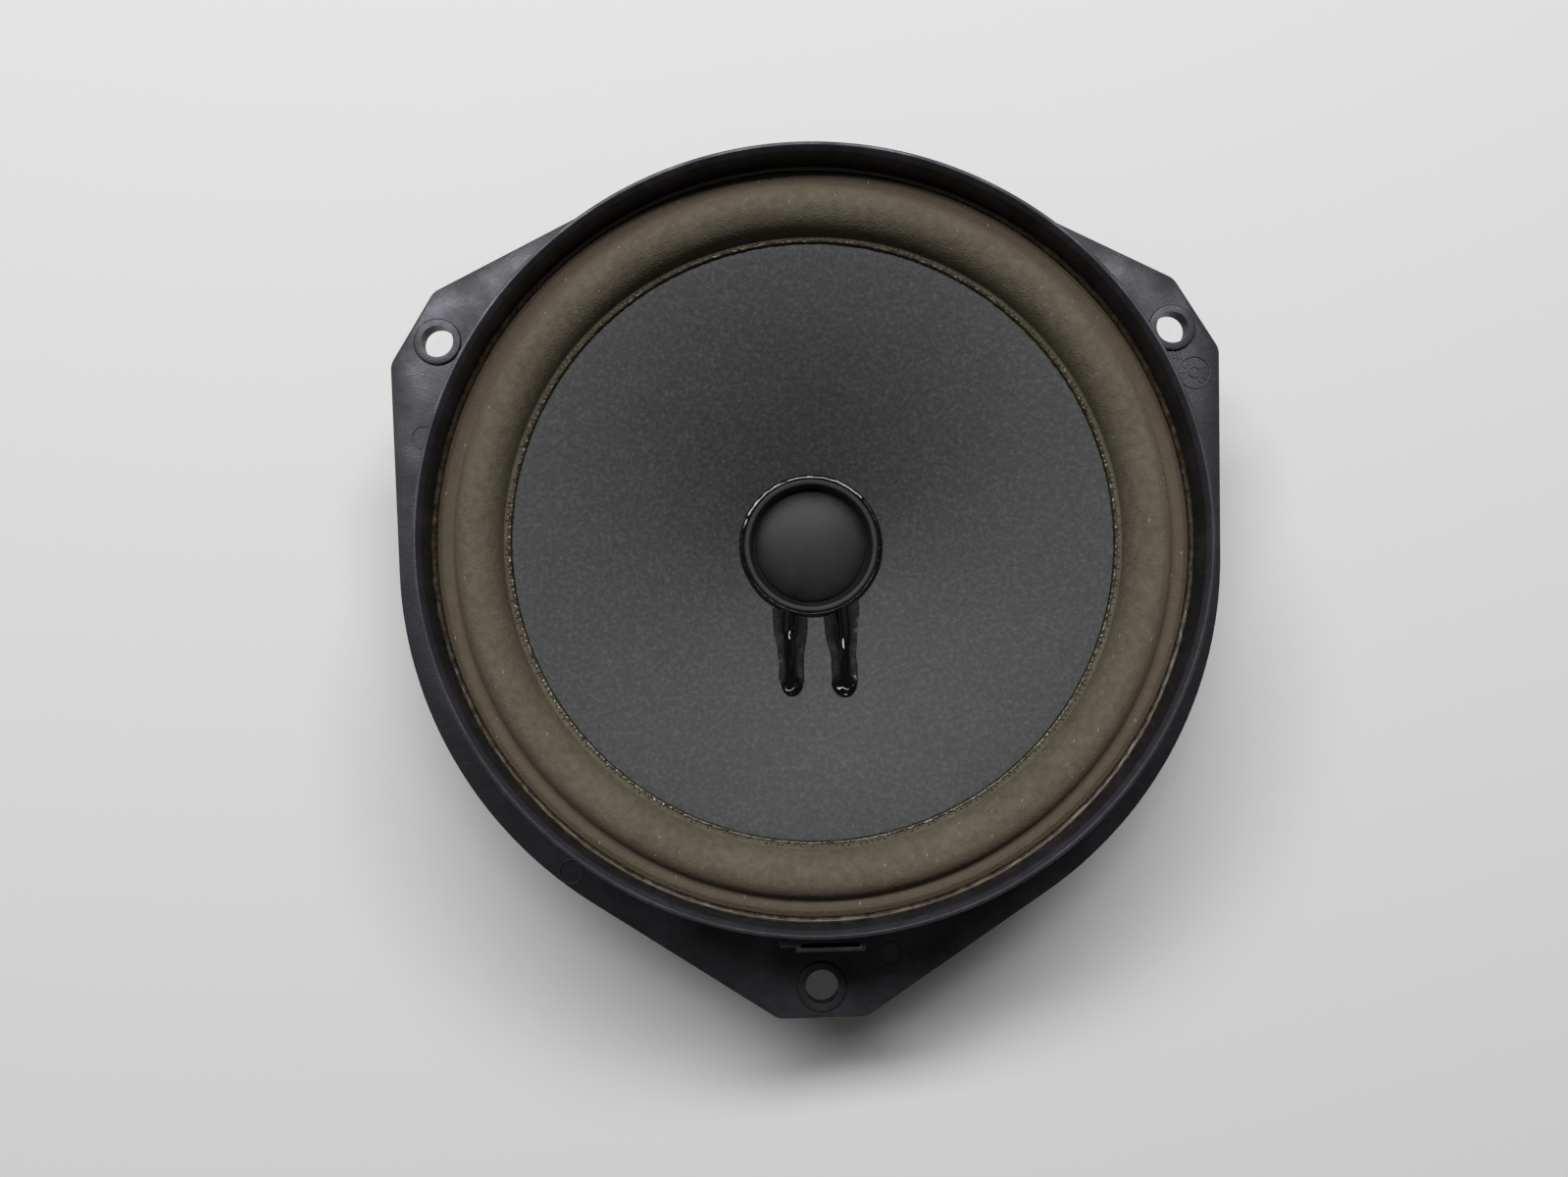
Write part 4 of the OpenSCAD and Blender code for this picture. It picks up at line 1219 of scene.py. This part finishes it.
def braid_tree():
    """Lays twisted strands along a curve."""
    tree, given = open_tree("twisted_strands", {
        "Lay radius": 0.0005, "Strand radius": 0.0003, "Turns per metre": 200.0, "Strands": 6, "Rings": 90,
    })
    route = add(tree, "GeometryNodeMeshToCurve", {"Mesh": given["Geometry"]})
    spline = add(tree, "GeometryNodeCurveSplineType", {"Curve": route}, spline_type="CATMULL_ROM")
    even = add(tree, "GeometryNodeResampleCurve", {"Curve": spline, "Count": given["Rings"]})
    many = add(
        tree, "GeometryNodeDuplicateElements", {"Geometry": even, "Amount": given["Strands"]}, domain="SPLINE"
    )
    run = add(tree, "GeometryNodeSplineParameter")
    twist = add(
        tree, "ShaderNodeMath", {0: run.outputs["Length"], 1: given["Turns per metre"]}, operation="MULTIPLY"
    )
    share = add(
        tree, "ShaderNodeMath", {0: many.outputs["Duplicate Index"], 1: given["Strands"]}, operation="DIVIDE"
    )
    turns = add(tree, "ShaderNodeMath", {0: twist, 1: share}, operation="ADD")
    angle = add(tree, "ShaderNodeMath", {0: turns, 1: 2 * pi}, operation="MULTIPLY")
    normal = add(tree, "GeometryNodeInputNormal")
    tangent = add(tree, "GeometryNodeInputTangent")
    out = add(
        tree, "ShaderNodeVectorRotate", {"Vector": normal, "Axis": tangent, "Angle": angle},
        rotation_type="AXIS_ANGLE",
    )
    shift = add(tree, "ShaderNodeVectorMath", {0: out, "Scale": given["Lay radius"]}, operation="SCALE")
    laid = add(tree, "GeometryNodeSetPosition", {"Geometry": many.outputs["Geometry"], "Offset": shift})
    profile = add(
        tree, "GeometryNodeCurvePrimitiveCircle", {"Resolution": 8, "Radius": given["Strand radius"]}
    )
    wires = add(tree, "GeometryNodeCurveToMesh", {"Curve": laid, "Profile Curve": profile, "Fill Caps": True})
    smooth = add(tree, "GeometryNodeSetShadeSmooth", {"Geometry": wires})
    return close_tree(tree, given, smooth)


BRAID = braid_tree()


def make_tinsel_lead(side, name, node):
    """Twisted tinsel from the solder under the cone to the lug on the terminal board."""
    x = LEAD_X[side]
    end_x = TERMINAL_X if side else -TERMINAL_X
    top = cone_z(hypot(x, LEAD_Y)) - 2.75 * MM
    route = [
        (x, LEAD_Y - 0.6 * MM, top), (x, -30 * MM, top - 1.6 * MM), (x * 0.98, -33 * MM, MM),
        (x * 0.93, -37 * MM, -0.6 * MM), (end_x * 1.02, -41 * MM, -1.4 * MM), (end_x, -45 * MM, -1.9 * MM),
        (end_x, TERMINAL_Y + 2.4 * MM, -2.8 * MM), (end_x, TERMINAL_Y + 0.6 * MM, -3.9 * MM),
    ]
    lead = mesh_object(name, route, [(i, i + 1) for i in range(len(route) - 1)])
    grow(
        lead, BRAID, TINSEL, Lay_radius=0.45 * MM, Strand_radius=0.3 * MM, Turns_per_metre=190.0,
        Strands=6, Rings=110,
    )
    stand_in_for(lead, FRAME, node)
    lead.parent = None
    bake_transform(lead)
    return lead


# ---------------------------------------------------------------- coil, spider and motor


def ring_section(outer, inner, z0, z1):
    return [(inner, z0), (outer, z0), (outer, z1), (inner, z1)]


def make_coil():
    r = reach("coil_former")
    former = turned("kraft_former", ring_section(r, r - 0.3 * MM, low("coil_former"), NECK_Z), KRAFT)
    stand_in_for(former, MOVING, "coil_former")
    outer = reach("voice_coil")
    z0, z1 = low("voice_coil"), high("voice_coil")
    pitch = (z1 - z0) / COIL_TURNS
    wire = []
    for k in range(COIL_TURNS):
        for a in (-60, -30, 0, 30, 60):
            z = z0 + pitch * (k + 0.5 + sin(radians(a)) / 2 * 0.98)
            wire.append((outer - pitch / 2 * (1 - cos(radians(a))), z))
    section = [(r, z0)] + wire + [(r, z1)]
    coil = turned("copper_winding", section, ENAMELLED_COPPER, sharp=75, Segments=128)
    stand_in_for(coil, MOVING, "voice_coil")
    neck = [
        (r, NECK_Z - 2.4 * MM), (CONE_NECK + 1.4 * MM, NECK_Z - 0.25 * MM), (CONE_NECK, NECK_Z - 0.75 * MM),
        (r, NECK_Z - 0.75 * MM),
    ]
    bead = turned(
        "neck_glue_bead", neck, BLACK_GLUE, corner=0.15 * MM, sharp=70,
        Lump_height=0.2 * MM, Lump_size=3 * MM, Seed=6,
    )
    stand_in_for(bead, MOVING, "neck_glue")


def make_spider():
    """Waved cloth disc; the waves grow shallower towards the platform."""
    base = low("spider")
    r0 = reach("coil_former") + MM
    r1 = PLATFORM_IN + 0.5 * MM
    rim = PLATFORM_R - 2.5 * MM
    neck_top = base + 2.4 * MM
    under = []
    steps = 108
    for i in range(steps + 1):
        u = i / steps
        wave = SPIDER_WAVE * (1 - cos(2 * pi * SPIDER_WAVES * u)) / 2 * (1 - 0.2 * u)
        under.append((r0 + (r1 - r0) * u, base + 0.3 * MM * (1 - u) + wave))
    over = [(r, z + SPIDER_T) for r, z in reversed(under)]
    section = [(CONE_NECK, neck_top), (CONE_NECK, base)] + under
    section += [(rim, base), (rim, base + SPIDER_T)] + over + [(CONE_NECK + SPIDER_T, neck_top)]
    disc = turned("cloth_spider", section, SPIDER_CLOTH, sharp=60)
    stand_in_for(disc, FRAME, "spider")
    disc.parent = None
    radial_blend(disc)
    bead_section = [
        (rim + 0.05 * MM, PLATFORM_Z), (rim + 1.55 * MM, PLATFORM_Z), (rim + 0.9 * MM, PLATFORM_Z + 0.5 * MM),
        (rim + 0.05 * MM, PLATFORM_Z + 0.75 * MM),
    ]
    bead = turned(
        "brown_glue_bead", bead_section, BROWN_GLUE, corner=0.15 * MM, sharp=70,
        Lump_height=0.4 * MM, Lump_size=3 * MM, Segments=360, Seed=8,
    )
    stand_in_for(bead, FRAME, "spider_glue")


def make_motor():
    gap_r = reach("voice_coil") + COIL_GAP
    plate_r = reach("front_plate")
    plate = turned(
        "chromate_front_plate", ring_section(plate_r, gap_r, low("front_plate"), FLOOR_Z), CHROMATE,
        corner=0.35 * MM,
    )
    stand_in_for(plate, FRAME, "front_plate")
    magnet_r = reach("magnet")
    magnet = turned(
        "ferrite_ring", ring_section(magnet_r, MAGNET_HOLE, low("magnet"), high("magnet")), FERRITE,
        corner=0.9 * MM, Lump_height=0.12 * MM, Lump_size=2 * MM, Seed=11,
    )
    stand_in_for(magnet, FRAME, "magnet")
    for name, node in (("front_epoxy", "front_magnet_glue"), ("rear_epoxy", "rear_magnet_glue")):
        layer = ring_section(reach(node), MAGNET_HOLE + 0.5 * MM, low(node), high(node))
        glue = turned(name, layer, MOTOR_GLUE)
        stand_in_for(glue, FRAME, node)
    bottom, top = low("back_plate"), high("back_plate")
    back = turned(
        "chromate_back_plate", ring_section(reach("back_plate"), POLE_FOOT, bottom, top), CHROMATE,
        corner=0.35 * MM,
    )
    stand_in_for(back, FRAME, "back_plate")
    r = reach("pole_piece")
    tip = high("pole_piece")
    section = [
        (0, bottom), (POLE_FOOT - 0.02 * MM, bottom), (POLE_FOOT - 0.02 * MM, top), (r, top),
        (r, tip - 0.6 * MM), (r - 0.6 * MM, tip), (0, tip),
    ]
    pole = turned("chromate_pole", section, CHROMATE, corner=0.25 * MM)
    stand_in_for(pole, FRAME, "pole_piece")


def make_rivets():
    """Four rivets that hold the basket's floor on the front plate, and two for the terminal board."""
    z = FLOOR_Z
    head = z + FLOOR_T
    section = [
        (0, z - 3.4 * MM), (2 * MM, z - 3.4 * MM), (2 * MM, head), (3.2 * MM, head),
        (3.1 * MM, head + 0.5 * MM), (2.2 * MM, head + 0.95 * MM), (0, head + MM),
    ]
    rivet = moved(turned("rivet", section, ZINC, corner=0.2 * MM, Segments=48), RIVET_CIRCLE)
    rivets = repeat(rivet, 4, radians(45), ZINC)
    rivets.name = "floor_rivets"
    stand_in_for(rivets, FRAME, "plate_rivets")
    low_z, high_z = low("terminal_rivets"), high("terminal_rivets")
    section = [
        (0, low_z), (1.5 * MM, low_z + 0.05 * MM), (2.2 * MM, low_z + 0.45 * MM),
        (2.2 * MM, low_z + 0.8 * MM), (1.3 * MM, low_z + 0.8 * MM), (1.3 * MM, high_z - 0.7 * MM),
        (2.2 * MM, high_z - 0.7 * MM),
        (2.1 * MM, high_z - 0.25 * MM), (1.4 * MM, high_z), (0, high_z),
    ]
    pair = [
        moved(turned(f"rivet_{i}", section, ZINC, corner=0.12 * MM, Segments=40), x, TERMINAL_Y)
        for i, x in enumerate((-RIVET_X, RIVET_X))
    ]
    stand_in_for(join("board_rivets", *pair), FRAME, "terminal_rivets")


def make_terminals():
    board = refined("terminal_block", "terminal_board_piece", BOARD, 0.25 * MM)
    stand_in_for(board, FRAME, "terminal_block")
    for node in ("positive_terminal", "negative_terminal"):
        blade = refined(node, node.replace("terminal", "blade_piece"), TINNED, 0.12 * MM)
        stand_in_for(blade, FRAME, node)


# ---------------------------------------------------------------- floor, light and camera


def make_stage():
    ground = low("back_plate") - 0.2 * MM
    floor = mesh_object(
        "floor", [(-2, -2, ground), (2, -2, ground), (2, 2, ground), (-2, 2, ground)], faces=[(0, 1, 2, 3)]
    )
    material, _, bsdf = new_surface("pale_board", Roughness=0.8, Specular_IOR_Level=0.3)
    bsdf.inputs["Base Color"].default_value = linear("#e9e9e7")
    floor.data.materials.append(material)


def area_light(name, place_at, aim, size, power, colour="#ffffff"):
    data = bpy.data.lights.new(name, "AREA")
    data.shape = "RECTANGLE"
    data.size, data.size_y = size
    data.energy = power
    data.color = linear(colour)[:3]
    light = link(bpy.data.objects.new(name, data))
    light.location = place_at
    light.rotation_euler = (Vector(aim) - Vector(place_at)).to_track_quat("-Z", "Y").to_euler()


def make_light():
    area_light("ceiling_lamps", (-0.08, 0.62, 1.12), (0, 0, 0), (1.5, 0.26), 19, "#fdfdff")
    area_light("room_light", (0, -0.7, 1.3), (0, 0, 0), (1.6, 1.2), 0.6, "#fff8f0")
    world = bpy.data.worlds.new("room")
    world.use_nodes = True
    world.node_tree.nodes["Background"].inputs["Color"].default_value = linear("#c9ccd0")
    world.node_tree.nodes["Background"].inputs["Strength"].default_value = 0.06
    bpy.context.scene.world = world
    bpy.context.scene.view_settings.view_transform = "Standard"


def make_camera():
    eye = Vector((-8.6, -31.7, 257.0)) * MM
    aim = Vector((-5.6, -8.3, 0)) * MM
    data = bpy.data.cameras.new("camera")
    data.lens = 29.27
    data.sensor_width = 36
    data.clip_start = 0.01
    camera = link(bpy.data.objects.new("camera", data))
    back = (eye - aim).normalized()
    right = Vector((0.0226, 1, 0)).cross(back).normalized()
    turn = Matrix((right, back.cross(right), back)).transposed().to_4x4()
    camera.matrix_world = Matrix.Translation(eye) @ turn
    bpy.context.scene.camera = camera


make_camera()
make_stage()
make_light()
make_basket()
make_surround()
make_surround_glue()
make_cone()
make_cone_edge_glue()
make_dust_cap()
make_dust_cap_glue()
make_lead_glue(0, "left_glue_strip", "left_lead_glue", 2.2 * MM)
make_lead_glue(1, "right_glue_strip", "right_lead_glue", 2.6 * MM)
for side, word in enumerate(("left", "right")):
    make_coil_lead(side, f"{word}_wire", f"{word}_coil_lead")
    make_eyelet(side, f"{word}_brass_eyelet", f"{word}_eyelet")
    make_solder(side, f"{word}_solder_drop", f"{word}_solder")
    make_tinsel_lead(side, f"{word}_tinsel", f"{word}_tinsel_lead")
make_coil()
make_spider()
make_motor()
make_rivets()
make_terminals()
